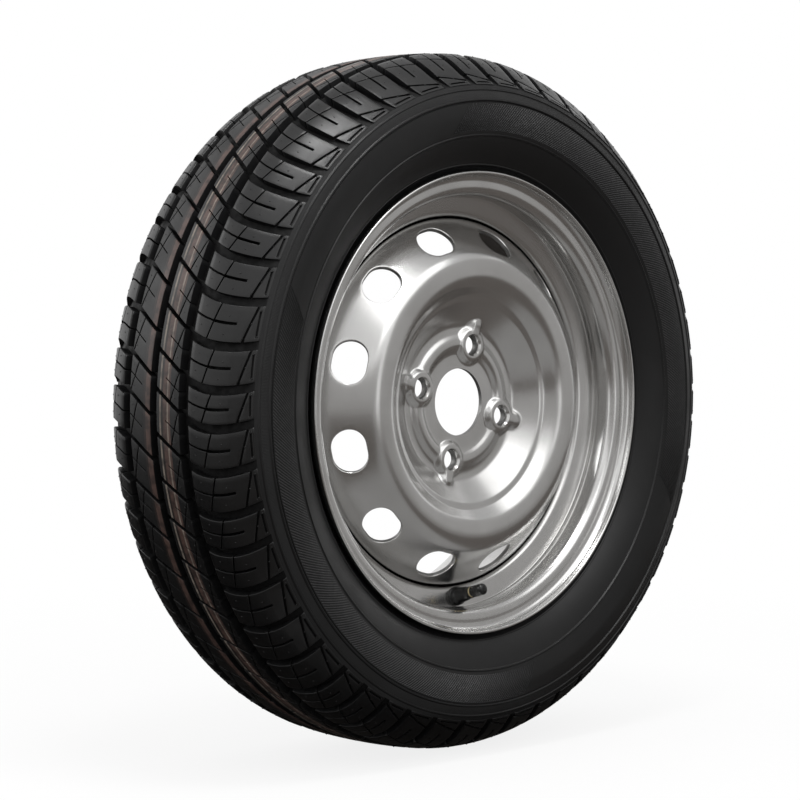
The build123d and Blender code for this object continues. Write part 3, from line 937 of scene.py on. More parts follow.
def rounded(points, radii, step):
    """A line with rounded corners: its points and the way that it runs at each of them."""
    corners = [Vector(p) for p in points]
    line = [corners[0]]
    ways = [(corners[1] - corners[0]).normalized()]

    def run_to(end, way):
        start = line[-1]
        count = max(1, round((end - start).length / step))
        for k in range(count):
            line.append(start.lerp(end, (k + 1) / count))
            ways.append(way)

    for k in range(1, len(corners) - 1):
        before = (corners[k] - corners[k - 1]).normalized()
        after = (corners[k + 1] - corners[k]).normalized()
        turn = math.atan2(before.x * after.y - before.y * after.x, before.dot(after))
        radius = radii[k - 1]
        start = corners[k] - before * radius * math.tan(abs(turn) / 2)
        run_to(start, before)
        centre = start + Vector((-before.y, before.x)) * math.copysign(radius, turn)
        count = max(3, math.ceil(abs(turn) * max(radius / step, 5)))
        for share in np.arange(1, count + 1) / count:
            spin = Matrix.Rotation(turn * share, 2)
            line.append(centre + spin @ (start - centre))
            ways.append(spin @ before)
    run_to(corners[-1], ways[-1])
    return np.array([p.to_tuple() for p in line]), np.array([w.to_tuple() for w in ways])


def sheet_outline(points, radii, step, thickness):
    """Closed section of a bent sheet with rounded edges, the sheet lying left of the line."""
    line, ways = rounded(points, radii, step)
    left = np.stack([-ways[:, 1], ways[:, 0]], 1)
    back = line + left * thickness
    inset = thickness / 2

    def edge(k, sign):
        middle = (line[k] + back[k]) / 2
        return middle - inset * (sign * np.sin(EDGE_SWING) * ways[k] + np.cos(EDGE_SWING) * left[k])

    trim = 1 + int(inset / step)
    first = edge(0, 1)[::-1] + ways[0] * inset
    last = edge(-1, -1) - ways[-1] * inset
    return np.concatenate([first, line[trim:-trim], last, back[trim:-trim][::-1]])


def build_rim(material):
    """Rolled rim with its flanges, bead seats, humps and drop well."""
    points = [(r, -y) for r, y in RIM_HALF] + RIM_WELL + RIM_HALF[::-1]
    thickness = bpy.context.scene.wheel_looks.rim_sheet / MM
    line = sheet_outline(points, RIM_BENDS, RIM_STEP, thickness)
    return lathe("rolled_rim", line[::-1], RIM_TURN, [material], smooth=50.0)


def blend_up(a, b, soft):
    """The higher of two heights with a soft change between them."""
    return (a + b + np.sqrt((a - b) ** 2 + soft**2)) / 2


def slope_off(distance, slope, soft):
    """Nothing up to a distance, then an even fall with a soft start."""
    return slope * np.logaddexp(0, distance * soft) / soft


def hub_relief(x, z, base):
    """Height of the hub's ring ridge, bolt seats and ribs over the disc's plain face."""
    height = RING_RISE * (1 - ((np.hypot(x, z) - BOLT_R) / RING_HALF) ** 2)
    for k in range(BOLTS):
        a = math.radians(FIRST_BOLT + 360 / BOLTS * k)
        out = x * math.cos(a) + z * math.sin(a)
        side = z * math.cos(a) - x * math.sin(a)
        off_boss = np.hypot(out - BOLT_R, side) - BOSS_R
        boss = BOSS_RISE - slope_off(off_boss, slope=1.5, soft=1.3)
        along = np.clip(out, BOLT_R, HUB_RIB_END)
        off_rib = np.hypot(out - along, side) - HUB_RIB_HALF
        top = HUB_RIB_RISE + HUB_RIB_CLIMB * (along - BOLT_R)
        rib = top - slope_off(off_rib, slope=1.2, soft=1.1)
        height = blend_up(height, blend_up(boss, rib, soft=1.2), soft=1.4)
    return blend_up(base, height, soft=1.1) - base


class DiscFace:
    """The disc's outer face as a developed sheet of (distance from the bore, angle)."""

    def __init__(self):
        self.line, ways = rounded(DISC_LINE, DISC_BENDS, DISC_STEP)
        self.out = np.stack([ways[:, 1], -ways[:, 0]], 1)
        steps = np.hypot(*np.diff(self.line, axis=0).T)
        self.t = np.concatenate([[0], np.cumsum(steps)])

    def at_radius(self, r):
        """Distance along the face where it reaches a radius for the first time."""
        first = np.argmax(self.line[:, 0] > SKIRT_R - 0.2)
        return np.interp(r, self.line[:first, 0], self.t[:first])

    def point(self, t, angle, depth, relief=True):
        """Points at a depth under the face, with the hub's relief on it or not."""
        r, y = (np.interp(t, self.t, self.line[:, k]) for k in (0, 1))
        out_r, out_y = (np.interp(t, self.t, self.out[:, k]) for k in (0, 1))
        r = r - depth * out_r
        x, z = r * np.cos(angle), r * np.sin(angle)
        y = y - depth * out_y
        if relief:
            y = y - np.where(r < RELIEF_END_R, hub_relief(x, z, HUB_Y - y), 0)
        return np.stack([x, y, z], -1)


def near_angle(a):
    """An angle brought to within half a turn of zero."""
    return (a + math.pi) % (2 * math.pi) - math.pi


class BoltHole:
    """A bolt hole with its conical seat, laid out flat about its own middle."""

    def __init__(self, face, middle):
        self.face = face
        self.middle = middle

    def local(self, t, a):
        """Flat place of points on the sheet."""
        r = np.interp(t, self.face.t, self.face.line[:, 0])
        return r * np.cos(a - self.middle) - BOLT_R, r * np.sin(a - self.middle)

    def on_sheet(self, x, y):
        """Distance and angle on the sheet of flat places."""
        return self.face.at_radius(np.hypot(BOLT_R + x, y)), self.middle + np.arctan2(y, BOLT_R + x)

    def covers(self, x, y):
        """True where the sheet makes room for the hole's own rings."""
        return np.hypot(x, y) < BOSS_CLEAR_R

    def rings(self, x, y):
        """Rings of points from the sheet to the hole's edge, with how deep each is sunk."""
        reach = np.hypot(x, y)
        boss = np.linspace(BOSS_CLEAR_R, BOLT_SEAT_R + 0.7, 5)
        around = [(d, 0.0) for d in (*boss, BOLT_SEAT_R + 0.3, BOLT_SEAT_R)]
        seat = [((BOLT_SEAT_R + BOLT_HOLE_R) / 2, SEAT_DEPTH / 2), (BOLT_HOLE_R, SEAT_DEPTH)]
        return [(x / reach * d, y / reach * d, sink) for d, sink in around + seat]


class Vent:
    """An oval vent with a rounded edge, laid out flat about its own middle."""

    def __init__(self, face, middle):
        self.face = face
        self.middle = middle
        self.t = float(face.at_radius(VENT_R))

    def local(self, t, a):
        """Flat place of points on the sheet."""
        return near_angle(a - self.middle) * np.interp(t, self.face.t, self.face.line[:, 0]), t - self.t

    def on_sheet(self, x, y):
        """Distance and angle on the sheet of flat places."""
        t = self.t + y
        return t, self.middle + x / np.interp(t, self.face.t, self.face.line[:, 0])

    def outline(self, x, y):
        """Distance outside the oval, and the way straight out from it."""
        over = x - np.clip(x, -VENT_STRAIGHT, VENT_STRAIGHT)
        reach = np.maximum(np.hypot(over, y), 1e-9)
        return reach - VENT_HALF, over / reach, y / reach

    def covers(self, x, y):
        """True where the sheet makes room for the vent's own rings."""
        return self.outline(x, y)[0] < VENT_EDGE[0][0]

    def rings(self, x, y):
        """Rings of points from the sheet to the vent's edge, with how deep each is sunk."""
        off, way_x, way_y = self.outline(x, y)
        return [(x - way_x * (off - d), y - way_y * (off - d), sink) for d, sink in VENT_EDGE]


class Sheet:
    """The disc's face as a net of points (distance, angle, sink) that holes are cut into."""

    def __init__(self, face, count):
        columns = len(face.t)
        self.t = np.tile(face.t, count)
        self.a = np.repeat(full_turn(count), columns)
        self.sink = np.zeros(len(self.t))
        self.quads = np.array(grid_faces(count, columns, wrap_rows=True))
        self.bore = np.arange(count) * columns
        self.skirt = self.bore + columns - 1

    def cut(self, hole):
        """Opens a hole and gives the ring of points along its edge."""
        first = self.a[self.quads[:, :1]]
        middle = first[:, 0] + near_angle(self.a[self.quads] - first).mean(1)
        gone = hole.covers(*hole.local(self.t[self.quads].mean(1), middle))
        faces = [self.quads[~gone]]
        ring = np.intersect1d(self.quads[gone], faces[0])
        x, y = hole.local(self.t[ring], self.a[ring])
        order = np.argsort(np.arctan2(y, x))
        ring = ring[order]
        rings = hole.rings(x[order], y[order])
        self.t[ring], self.a[ring] = hole.on_sheet(*rings[0][:2])
        for x, y, sink in rings[1:]:
            new = len(self.t) + np.arange(len(ring))
            t, a = hole.on_sheet(x, y)
            self.t = np.append(self.t, t)
            self.a = np.append(self.a, a)
            self.sink = np.append(self.sink, np.full(len(ring), sink))
            faces.append(np.stack([ring, np.roll(ring, -1), np.roll(new, -1), new], 1))
            ring = new
        self.quads = np.concatenate(faces)
        return ring


def build_disc(material, edge_shade_material):
    """Pressed disc: bowl, bolt seats, ribs, crest, vents and skirt, with its punched edges."""
    face = DiscFace()
    sheet = Sheet(face, DISC_TURN)
    turns = [math.radians(FIRST_BOLT + 360 / VENTS * k) for k in range(VENTS)]
    holes = [BoltHole(face, turn) for turn in turns[:: VENTS // BOLTS]]
    holes += [Vent(face, turn) for turn in turns]
    edges = [sheet.cut(hole) for hole in holes] + [sheet.bore, sheet.skirt]
    out_r, out_y = (np.interp(sheet.t, face.t, face.out[:, k]) for k in (0, 1))
    inward = -round_axle(out_r, out_y, sheet.a)
    front = face.point(sheet.t, sheet.a, 0.0) + inward * sheet.sink[:, None]
    back = face.point(sheet.t, sheet.a, bpy.context.scene.wheel_looks.disc_sheet / MM, False)
    faces = [sheet.quads, sheet.quads[:, ::-1] + len(front)]
    for edge in edges:
        after = np.roll(edge, -1)
        faces.append(np.stack([edge, after, after + len(front), edge + len(front)], 1))
    faces = np.concatenate(faces)
    # The walls of the holes, the bore and the skirt's end take the darker edge paint: partly painted
    # shade inside the holes
    punched = np.arange(len(faces)) >= 2 * len(sheet.quads)
    verts = np.concatenate([front, back])
    disc = make_object("pressed_disc", verts, faces.tolist(), [material, edge_shade_material], finish=punched)
    turn_outward(disc)
    return disc


def turn_outward(piece):
    """Makes every face of a closed piece look outward and marks its sharp edges."""
    solid = bmesh.new()
    solid.from_mesh(piece.data)
    bmesh.ops.recalc_face_normals(solid, faces=solid.faces[:])
    solid.to_mesh(piece.data)
    solid.free()
    piece.data.set_sharp_from_angle(angle=math.radians(40.0))


def build_welds(material):
    """Rippled weld beads between the disc's skirt and the rim."""
    steps = np.linspace(0, 1, 4 * WELD_RIPPLES + 1)[:, None]
    share = np.linspace(0, 1, 6)[None]
    ripple = WELD_RIPPLE * np.cos(steps * 2 * math.pi * WELD_RIPPLES) - WELD_RIPPLE
    taper = np.minimum(1, np.minimum(steps, 1 - steps) * WELD_TAPER + WELD_END_SHARE)
    wave = WELD_SWELL * np.sin(share * math.pi) + ripple
    r = WELD_TOP_R - WELD_LEG_R * share * taper - SWELL_INWARD * wave
    y = WELD_TOP_Y - WELD_LEG_Y * share + SWELL_ALONG * wave + WELD_END_DROP * (taper - 1) * (1 - share)
    y = np.maximum(y, WELD_LOWEST_Y)
    verts, faces = [], []
    for k in range(WELDS):
        a = math.radians(FIRST_BOLT + 360 / WELDS * k) + steps * WELD_ARC
        faces += grid_faces(*r.shape, start=k * r.size)
        verts.append(round_axle(r, y, a).reshape(-1, 3))
    return make_object("weld_beads", np.concatenate(verts), faces, [material], smooth=80.0)


# Valve


def valve_points(r, a, height):
    """Points at a radius, an angle and a height in the valve's own axes."""
    side = VALVE_AXIS.cross(Vector((1, 0, 0)))
    across = (r * np.cos(a))[..., None] * np.array((1.0, 0, 0))
    beside = (r * np.sin(a))[..., None] * np.array(side)
    along = np.broadcast_to(height, r.shape)[..., None] * np.array(VALVE_AXIS)
    return np.array(VALVE_BASE) + across + beside + along


def valve_turned(name, line, count, material, relief=None, smooth=40.0):
    """A (radius, height) section turned about the valve's own axis, with any relief on it."""
    line = np.asarray(line, float)
    a = full_turn(count)[:, None]
    r = np.broadcast_to(line[None, :, 0], (count, len(line))).copy()
    if relief is not None:
        r += relief(a, line[None, :, 1], r)
    points = valve_points(r, a, line[None, :, 1])
    faces = grid_faces(count, len(line), wrap_rows=True, wrap_columns=True)
    return make_object(name, points.reshape(-1, 3), faces, [material], smooth)


def soft_section(points, radius, step=0.35):
    """A closed section with all of its corners a little rounded."""
    loop = points + points[:2]
    line, _ = rounded(loop, [radius] * (len(loop) - 2), step)
    return line[1:-1]


def build_valve_rubber(material):
    """Moulded body: bulb behind the rim, grooved collar and tapered neck."""
    section = [
        (STEM_R, STEM_FOOT),
        (5.5, STEM_FOOT),
        (6.95, -6.3),
        (6.95, -4.5),
        (5.7, -3.2),
        (5.7, 0.12),
        (8.15, 0.12),
        (8.2, 1.8),
        (7.2, 2.3),
        (7.2, 3.0),
        (8.0, 3.4),
        (7.8, 4.8),
        (6.8, 6.1),
        (5.85, 14.5),
        (5.15, 16.6),
        (5.15, BODY_TOP),
        (STEM_R, BODY_TOP),
    ]
    return valve_turned("valve_body", soft_section(section, 0.22), BODY_POINTS, material)


def build_valve_stem(material):
    """Brass stem with its ring, thread and open bore."""
    pitch = bpy.context.scene.valve_looks.thread_pitch / MM
    heights = np.arange(RING_TOP + 0.1, STEM_TOP - 0.45, THREAD_STEP)
    section = [
        (AIR_R, STEM_FOOT),
        (STEM_R, STEM_FOOT),
        (STEM_R, BODY_TOP),
        (RING_R - 0.1, BODY_TOP),
        (RING_R, BODY_TOP + 0.15),
        (RING_R, RING_TOP - 0.15),
        (RING_R - 0.1, RING_TOP),
        (THREAD_R, RING_TOP),
        *[(THREAD_R, height) for height in heights],
        (THREAD_R - 0.5, STEM_TOP),
        (CORE_R, STEM_TOP),
        (CORE_R, 25.0),
        (CORE_SEAT_R, 24.0),
        (CORE_SEAT_R, 18.2),
        (AIR_R, 17.0),
    ]

    def thread(a, height, r):
        turn = (height / pitch - a / (2 * math.pi)) % 1.0
        cut = THREAD_DEPTH * np.abs(2 * turn - 1) * np.clip((height - RING_TOP) / THREAD_FADE, 0, 1)
        threaded = (height > RING_TOP) & (height < STEM_TOP - 0.2) & (r > THREAD_R - 0.25)
        return np.where(threaded, -cut, 0.0)

    return valve_turned("valve_stem_thread", section, STEM_POINTS, material, thread, smooth=30.0)


def build_valve_cap(material):
    """Screw cap with a domed end and fine grip flutes."""
    lip = [(CAP_BORE_R, CAP_FOOT), (4.45, CAP_FOOT), (4.7, CAP_FOOT + 0.12), (CAP_R, CAP_FOOT + 0.45)]
    walls = [(CAP_R, height) for height in np.arange(CAP_FOOT + 0.9, CAP_SHOULDER - 0.1, 0.6)]
    rise = np.radians(np.arange(0, 90, 6))
    dome_height = CAP_TOP - CAP_SHOULDER
    dome = [(CAP_R * math.cos(b) ** 0.8, CAP_SHOULDER + dome_height * math.sin(b)) for b in rise]
    section = [*lip, *walls, *dome, (0.05, CAP_TOP), (0.05, CAP_ROOF), (CAP_BORE_R, CAP_ROOF)]

    def flutes(a, height, r):
        fade_in = np.clip((height - CAP_FOOT - 1.2) / 0.8, 0, 1)
        fade_out = np.clip((FLUTE_END - height) / 1.2, 0, 1)
        ridge = np.maximum(np.cos(a * FLUTES), -0.2) - 1.0
        return np.where(r > CAP_R - 0.4, FLUTE_DEPTH * ridge * (fade_in * fade_out), 0.0)

    return valve_turned("screw_cap", section, CAP_POINTS, material, flutes, smooth=45.0)


def build_spring(material):
    """Coil spring that holds the core's pin out, with its foot on the barrel."""
    steps = SPRING_TURNS * SPRING_STEPS + 1
    share = np.linspace(0, 1, steps)[:, None]
    around = full_turn(SPRING_SIDES)[None]
    r = np.broadcast_to(SPRING_R + SPRING_WIRE_R * np.cos(around), (steps, SPRING_SIDES))
    low = SPRING_LOW + SPRING_WIRE_R
    high = SPRING_HIGH - SPRING_WIRE_R
    height = low + (high - low) * share + SPRING_WIRE_R * np.sin(around)
    points = valve_points(r, share * SPRING_TURNS * 2 * math.pi, height)
    faces = grid_faces(steps, SPRING_SIDES, wrap_columns=True)
    faces += [tuple(range(SPRING_SIDES))[::-1], tuple(range(r.size - SPRING_SIDES, r.size))]
    return make_object("coil_spring", points.reshape(-1, 3), faces, [material], smooth=60.0)


# Materials


def add_node(tree, kind, inputs=None, **settings):
    """A new node with its settings and with values or links on its inputs."""
    made = tree.nodes.new(kind)
    for key, value in settings.items():
        setattr(made, key, value)
    for key, value in (inputs or {}).items():
        if isinstance(value, bpy.types.NodeSocket):
            tree.links.new(value, made.inputs[key])
        else:
            made.inputs[key].default_value = value
    return made


def calc(tree, operation, a, b=0.0, c=0.0):
    """One step of arithmetic on values."""
    return add_node(tree, "ShaderNodeMath", {0: a, 1: b, 2: c}, operation=operation).outputs[0]


def ramp(tree, value, low, high, bottom=0.0, top=1.0):
    """A value brought smoothly from one range to another."""
    inputs = {"Value": value, "From Min": low, "From Max": high, "To Min": bottom, "To Max": top}
    made = add_node(tree, "ShaderNodeMapRange", inputs, interpolation_type="SMOOTHSTEP")
    return made.outputs["Result"]


def mix_colour(tree, share, a, b):
    """A colour between two others."""
    return add_node(tree, "ShaderNodeMix", {0: share, 6: a, 7: b}, data_type="RGBA").outputs[2]


def rgba(colour):
    """A stored colour as red, green, blue and alpha."""
    return (*colour, 1.0)


def toned(colour, share):
    """A colour made darker or lighter by a share."""
    return [c * share for c in colour]


def new_group(name, inputs, outputs):
    """An empty shader node group with value sockets."""
    tree = bpy.data.node_groups.new(name, "ShaderNodeTree")
    for socket, value in inputs.items():
        made = tree.interface.new_socket(socket, in_out="INPUT", socket_type="NodeSocketFloat")
        made.default_value = value
    for socket in outputs:
        tree.interface.new_socket(socket, in_out="OUTPUT", socket_type="NodeSocketFloat")
    return tree, tree.nodes.new("NodeGroupInput").outputs, tree.nodes.new("NodeGroupOutput").inputs


def axle_group():
    """Where a point lies from the axle: radius and axial place in millimetres, angle in radians."""
    tree, _, out = new_group("axle_place", {}, ["Radius", "Across", "Angle"])
    place = add_node(tree, "ShaderNodeTexCoord").outputs["Object"]
    x, y, z = add_node(tree, "ShaderNodeSeparateXYZ", {0: place}).outputs
    square = calc(tree, "MULTIPLY_ADD", x, x, calc(tree, "MULTIPLY", z, z))
    tree.links.new(calc(tree, "MULTIPLY", calc(tree, "SQRT", square), 1 / MM), out["Radius"])
    tree.links.new(calc(tree, "MULTIPLY", y, 1 / MM), out["Across"])
    tree.links.new(calc(tree, "ARCTAN2", z, x), out["Angle"])
    return tree


def noise(tree, scale, detail):
    """Noise in the piece's own place."""
    place = add_node(tree, "ShaderNodeTexCoord").outputs["Object"]
    inputs = {"Vector": place, "Scale": scale, "Detail": detail}
    return add_node(tree, "ShaderNodeTexNoise", inputs).outputs[0]


def grain_group():
    """Fine grain and broad mottle of a moulded or sprayed skin."""
    sockets = {"Fine": 900.0, "Broad": 14.0, "Mix": 0.5}
    tree, given, out = new_group("skin_grain", sockets, ["Height", "Mottle"])
    fine = noise(tree, given["Fine"], detail=4.0)
    broad = noise(tree, given["Broad"], detail=5.0)
    height = calc(tree, "MULTIPLY_ADD", fine, given["Mix"], calc(tree, "MULTIPLY", broad, 0.35))
    tree.links.new(height, out["Height"])
    tree.links.new(ramp(tree, broad, 0.3, 0.72), out["Mottle"])
    return tree


def dust_group():
    """Light dust that gathers in patches, more on faces that look up."""
    tree, given, out = new_group("dust_veil", {"Scale": 30.0, "Amount": 0.3}, ["Mask"])
    patches = ramp(tree, noise(tree, given["Scale"], detail=8.0), 0.45, 0.75)
    normal = add_node(tree, "ShaderNodeNewGeometry").outputs["Normal"]
    up = add_node(tree, "ShaderNodeSeparateXYZ", {0: normal}).outputs[2]
    lean = ramp(tree, up, -0.4, 1.0, 0.35, 1.0)
    mask = calc(tree, "MULTIPLY", patches, lean)
    tree.links.new(calc(tree, "MULTIPLY", mask, given["Amount"]), out["Mask"])
    return tree


def shared(name):
    """A shader group by its name, built the first time it is asked for."""
    builders = {"axle_place": axle_group, "skin_grain": grain_group, "dust_veil": dust_group}
    return bpy.data.node_groups.get(name) or builders[name]()


def use_group(tree, name, **values):
    """Places a shared group in a material with its own values."""
    made = add_node(tree, "ShaderNodeGroup", node_tree=shared(name))
    for key, value in values.items():
        made.inputs[key].default_value = value
    return made.outputs


def new_material(name, **settings):
    """A material with a shader and its plain settings."""
    material = bpy.data.materials.new(name)
    material.use_nodes = True
    tree = material.node_tree
    shader = tree.nodes["Principled BSDF"]
    for key, value in settings.items():
        shader.inputs[key.replace("_", " ").title().replace("Ior", "IOR")].default_value = value
    return material, tree, shader.inputs


def bump(tree, height, strength, distance):
    """A normal bent by a height."""
    inputs = {"Height": height, "Strength": strength, "Distance": distance}
    return add_node(tree, "ShaderNodeBump", inputs).outputs["Normal"]


def band(tree, value, middle, half, soft):
    """One inside a band of a value and none outside."""
    off = calc(tree, "ABSOLUTE", calc(tree, "SUBTRACT", value, middle))
    return ramp(tree, off, half + soft, half - soft)


def tyre_material(name, bloom, gloss, rough, stripes=()):
    """Moulded rubber with mould grain, serrations, a dull bloom and any paint stripes."""
    looks = bpy.context.scene.tyre_looks
    material, tree, shader = new_material(name, specular_ior_level=gloss)
    place = use_group(tree, "axle_place")
    grain = use_group(tree, "skin_grain", Fine=1500.0, Broad=22.0, Mix=0.55)
    dust = use_group(tree, "dust_veil", Scale=60.0, Amount=bloom)
    colour = mix_colour(tree, grain["Mottle"], rgba(looks.rubber), rgba(toned(looks.rubber, 0.6)))
    colour = mix_colour(tree, dust["Mask"], colour, rgba(looks.tread_dust))
    for middle, half, strength, paint in stripes:
        mask = band(tree, place["Across"], middle, half, soft=0.5)
        mask = calc(tree, "MULTIPLY", mask, worn_paint(tree, place))
        colour = mix_colour(tree, calc(tree, "MULTIPLY", mask, strength), colour, rgba(paint))
    tree.links.new(colour, shader["Base Color"])
    tree.links.new(ramp(tree, grain["Mottle"], 0.0, 1.0, rough, rough + 0.1), shader["Roughness"])
    serration = calc(tree, "SINE", calc(tree, "MULTIPLY", place["Angle"], SERRATIONS))
    serrated = band(tree, place["Radius"], SERRATED_R, SERRATED_HALF, soft=0.6)
    serrated = calc(tree, "MULTIPLY", serration, serrated)
    height = calc(tree, "MULTIPLY_ADD", serrated, 0.5, grain["Height"])
    tree.links.new(bump(tree, height, strength=0.28, distance=0.0004), shader["Normal"])
    return material


def worn_paint(tree, place):
    """Mask of the patchy paint on the tread's face, none down in the cuts."""
    patchy = ramp(tree, noise(tree, scale=160.0, detail=6.0), 0.30, 0.62, 0.35, 1.0)
    return calc(tree, "MULTIPLY", patchy, ramp(tree, place["Radius"], PAINT_LOW_R, PAINT_HIGH_R))


def silver_material():
    """Satin silver paint with soft pressed waves, a faint spun grain and painted shade in the seam."""
    looks = bpy.context.scene.wheel_looks
    finish = {"metallic": 1.0, "coat_weight": 0.25, "coat_roughness": 0.12}
    material, tree, shader = new_material("silver_paint", **finish)
    place = use_group(tree, "axle_place")
    grain = use_group(tree, "skin_grain", Fine=2600.0, Broad=16.0, Mix=0.006)
    dust = use_group(tree, "dust_veil", Scale=45.0, Amount=0.10)
    colour = mix_colour(tree, grain["Mottle"], rgba(looks.paint_shade), rgba(looks.paint))
    colour = mix_colour(tree, dust["Mask"], colour, rgba(toned(looks.paint_shade, 0.75)))
    # Painted shade in the gap between the disc's skirt and the rim, a dark band in the paint's colour
    near_rim = ramp(tree, place["Radius"], SEAM_START_R, SEAM_FULL_R)
    seam = calc(tree, "MULTIPLY", band(tree, place["Across"], SEAM_Y, SEAM_HALF, soft=0.9), near_rim)
    colour = mix_colour(tree, calc(tree, "MULTIPLY", seam, 0.93), colour, rgba(looks.painted_seam_shade))
    tree.links.new(colour, shader["Base Color"])
    tree.links.new(ramp(tree, grain["Mottle"], 0.0, 1.0, 0.26, 0.21), shader["Roughness"])
    rings = calc(tree, "SINE", calc(tree, "MULTIPLY", place["Radius"], SPUN_RINGS))
    height = calc(tree, "MULTIPLY_ADD", rings, 0.03, grain["Height"])
    tree.links.new(bump(tree, height, strength=0.06, distance=0.0012), shader["Normal"])
    return material


def weld_material():
    """Painted weld bead, rougher and a little darker than the sheet."""
    looks = bpy.context.scene.wheel_looks
    material, tree, shader = new_material("painted_weld", metallic=1.0)
    grain = use_group(tree, "skin_grain", Fine=1800.0, Broad=120.0, Mix=0.6)
    dark = toned(looks.paint_shade, 0.7)
    colour = mix_colour(tree, grain["Mottle"], rgba(dark), rgba(looks.paint_shade))
    tree.links.new(colour, shader["Base Color"])
    tree.links.new(ramp(tree, grain["Mottle"], 0.0, 1.0, 0.42, 0.30), shader["Roughness"])
    tree.links.new(bump(tree, grain["Height"], strength=0.4, distance=0.0003), shader["Normal"])
    return material


def small_finish(name, colour):
    """One of the finishes above in a colour, as a material of its own."""
    return plain_material(name, colour, **FINISHES[name])


def plain_material(name, colour, roughness, fine, strength, veil, metallic=0.0, gloss=0.25):
    """Small part's finish: one colour with mottle, a veil of dust and fine grain."""
    material, tree, shader = new_material(name, metallic=metallic, specular_ior_level=gloss)
    grain = use_group(tree, "skin_grain", Fine=fine, Broad=180.0, Mix=0.6)
    dust = use_group(tree, "dust_veil", Scale=260.0, Amount=veil)
    share = calc(tree, "MULTIPLY", grain["Mottle"], 0.5)
    tone = mix_colour(tree, share, rgba(colour), rgba(toned(colour, 0.65)))
    tone = mix_colour(tree, dust["Mask"], tone, rgba(DUST))
    tree.links.new(tone, shader["Base Color"])
    rough = ramp(tree, grain["Mottle"], 0.0, 1.0, roughness * 0.85, roughness * 1.15)
    tree.links.new(rough, shader["Roughness"])
    tree.links.new(bump(tree, grain["Height"], strength, distance=0.0001), shader["Normal"])
    return material


def dress(node, material):
    """Gives a carried over solid its finish."""
    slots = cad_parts[node].data.materials
    slots.clear()
    slots.append(material)


# Stage


def aim(piece, place, target, forward):
    """Puts a lamp or a card at a place, with its forward axis to a target."""
    piece.location = place
    piece.rotation_mode = "QUATERNION"
    piece.rotation_quaternion = (Vector(target) - Vector(place)).to_track_quat(forward, "Y")


def add_plane(name, size, place, target, material):
    """A flat rectangle of the stage that faces a target."""
    mesh = bpy.data.meshes.new(name)
    x, y = size[0] / 2, size[1] / 2
    corners = [(-x, -y, 0), (x, -y, 0), (x, y, 0), (-x, y, 0)]
    mesh.from_pydata(corners, [], [(0, 1, 2, 3)])
    mesh.materials.append(material)
    made = bpy.data.objects.new(name, mesh)
    aim(made, place, target, "Z")
    bpy.context.scene.collection.objects.link(made)
    return made


def add_lamp(name, power, size, place, target=(0, 0, 0)):
    """A soft rectangular lamp aimed at a point."""
    data = bpy.data.lights.new(name, "AREA")
    data.shape = "RECTANGLE"
    data.size, data.size_y = size
    data.energy = power
    lamp = bpy.data.objects.new(name, data)
    aim(lamp, place, target, "-Z")
    bpy.context.scene.collection.objects.link(lamp)


def seen_directly(tree):
    """One for rays from the camera, from mirrors and through glass, and none for others."""
    path = add_node(tree, "ShaderNodeLightPath").outputs
    both = calc(tree, "MAXIMUM", path["Is Camera Ray"], path["Is Glossy Ray"])
    return calc(tree, "MAXIMUM", both, path["Is Transmission Ray"])


def glow(tree, colour):
    """Even light of a colour."""
    return add_node(tree, "ShaderNodeEmission", {"Color": rgba(colour), "Strength": 1.0}).outputs[0]


def build_floor(colour):
    """Pale floor that keeps the wheel's shadow and runs out into the white surround."""
    material, tree, shader = new_material("floor_paint", roughness=0.9)
    painted = tree.nodes["Principled BSDF"].outputs["BSDF"]
    bounced = add_node(tree, "ShaderNodeLightPath").outputs["Is Diffuse Ray"]
    dimmed = mix_colour(tree, bounced, rgba(colour), rgba(toned(colour, 0.25)))
    tree.links.new(dimmed, shader["Base Color"])
    place = add_node(tree, "ShaderNodeTexCoord").outputs["Object"]
    reach = add_node(tree, "ShaderNodeVectorMath", {0: place}, operation="LENGTH").outputs["Value"]
    white = ramp(tree, reach, SHADOW_REACH, WHITE_REACH, WHITE_SHARE, 1.0)
    share = calc(tree, "MULTIPLY", seen_directly(tree), white)
    mixed = add_node(tree, "ShaderNodeMixShader", {0: share, 1: painted, 2: glow(tree, (1, 1, 1))})
    tree.links.new(mixed.outputs[0], tree.nodes["Material Output"].inputs["Surface"])
    height = CAD_BOX[0][2] - FLOOR_GAP
    add_plane("floor", (FLOOR_SIZE, FLOOR_SIZE), (0, 0, height), (0, 0, 1), material)


def build_card(name, size, place, target, colour):
    """A card out of the camera's sight that the metal and the rubber mirror."""
    material, tree, _ = new_material(name + "_paper")
    tree.links.new(glow(tree, colour), tree.nodes["Material Output"].inputs["Surface"])
    card = add_plane(name, size, place, target, material)
    card.visible_camera = False
    card.visible_diffuse = False
    card.visible_shadow = False
    card.visible_transmission = False


def build_world():
    """White surround for the camera and mirrors, softer for the light on dull faces."""
    world = bpy.data.worlds.new("studio_surround")
    world.use_nodes = True
    tree = world.node_tree
    back = tree.nodes["Background"]
    back.inputs["Color"].default_value = (1, 1, 1, 1)
    strength = calc(tree, "MULTIPLY_ADD", seen_directly(tree), 1 - SOFT_LIGHT, SOFT_LIGHT)
    tree.links.new(strength, back.inputs["Strength"])
    bpy.context.scene.world = world


def build_camera():
    """Camera at the height and angle of the view shown."""
    data = bpy.data.cameras.new("camera")
    data.sensor_width = SENSOR
    data.lens = LENS
    camera = bpy.data.objects.new("camera", data)
    turn = Matrix((CAMERA_RIGHT, CAMERA_UP, CAMERA_RIGHT.cross(CAMERA_UP))).transposed()
    camera.matrix_world = Matrix.Translation(CAMERA_PLACE) @ turn.to_4x4()
    bpy.context.scene.collection.objects.link(camera)
    bpy.context.scene.camera = camera


# Operators


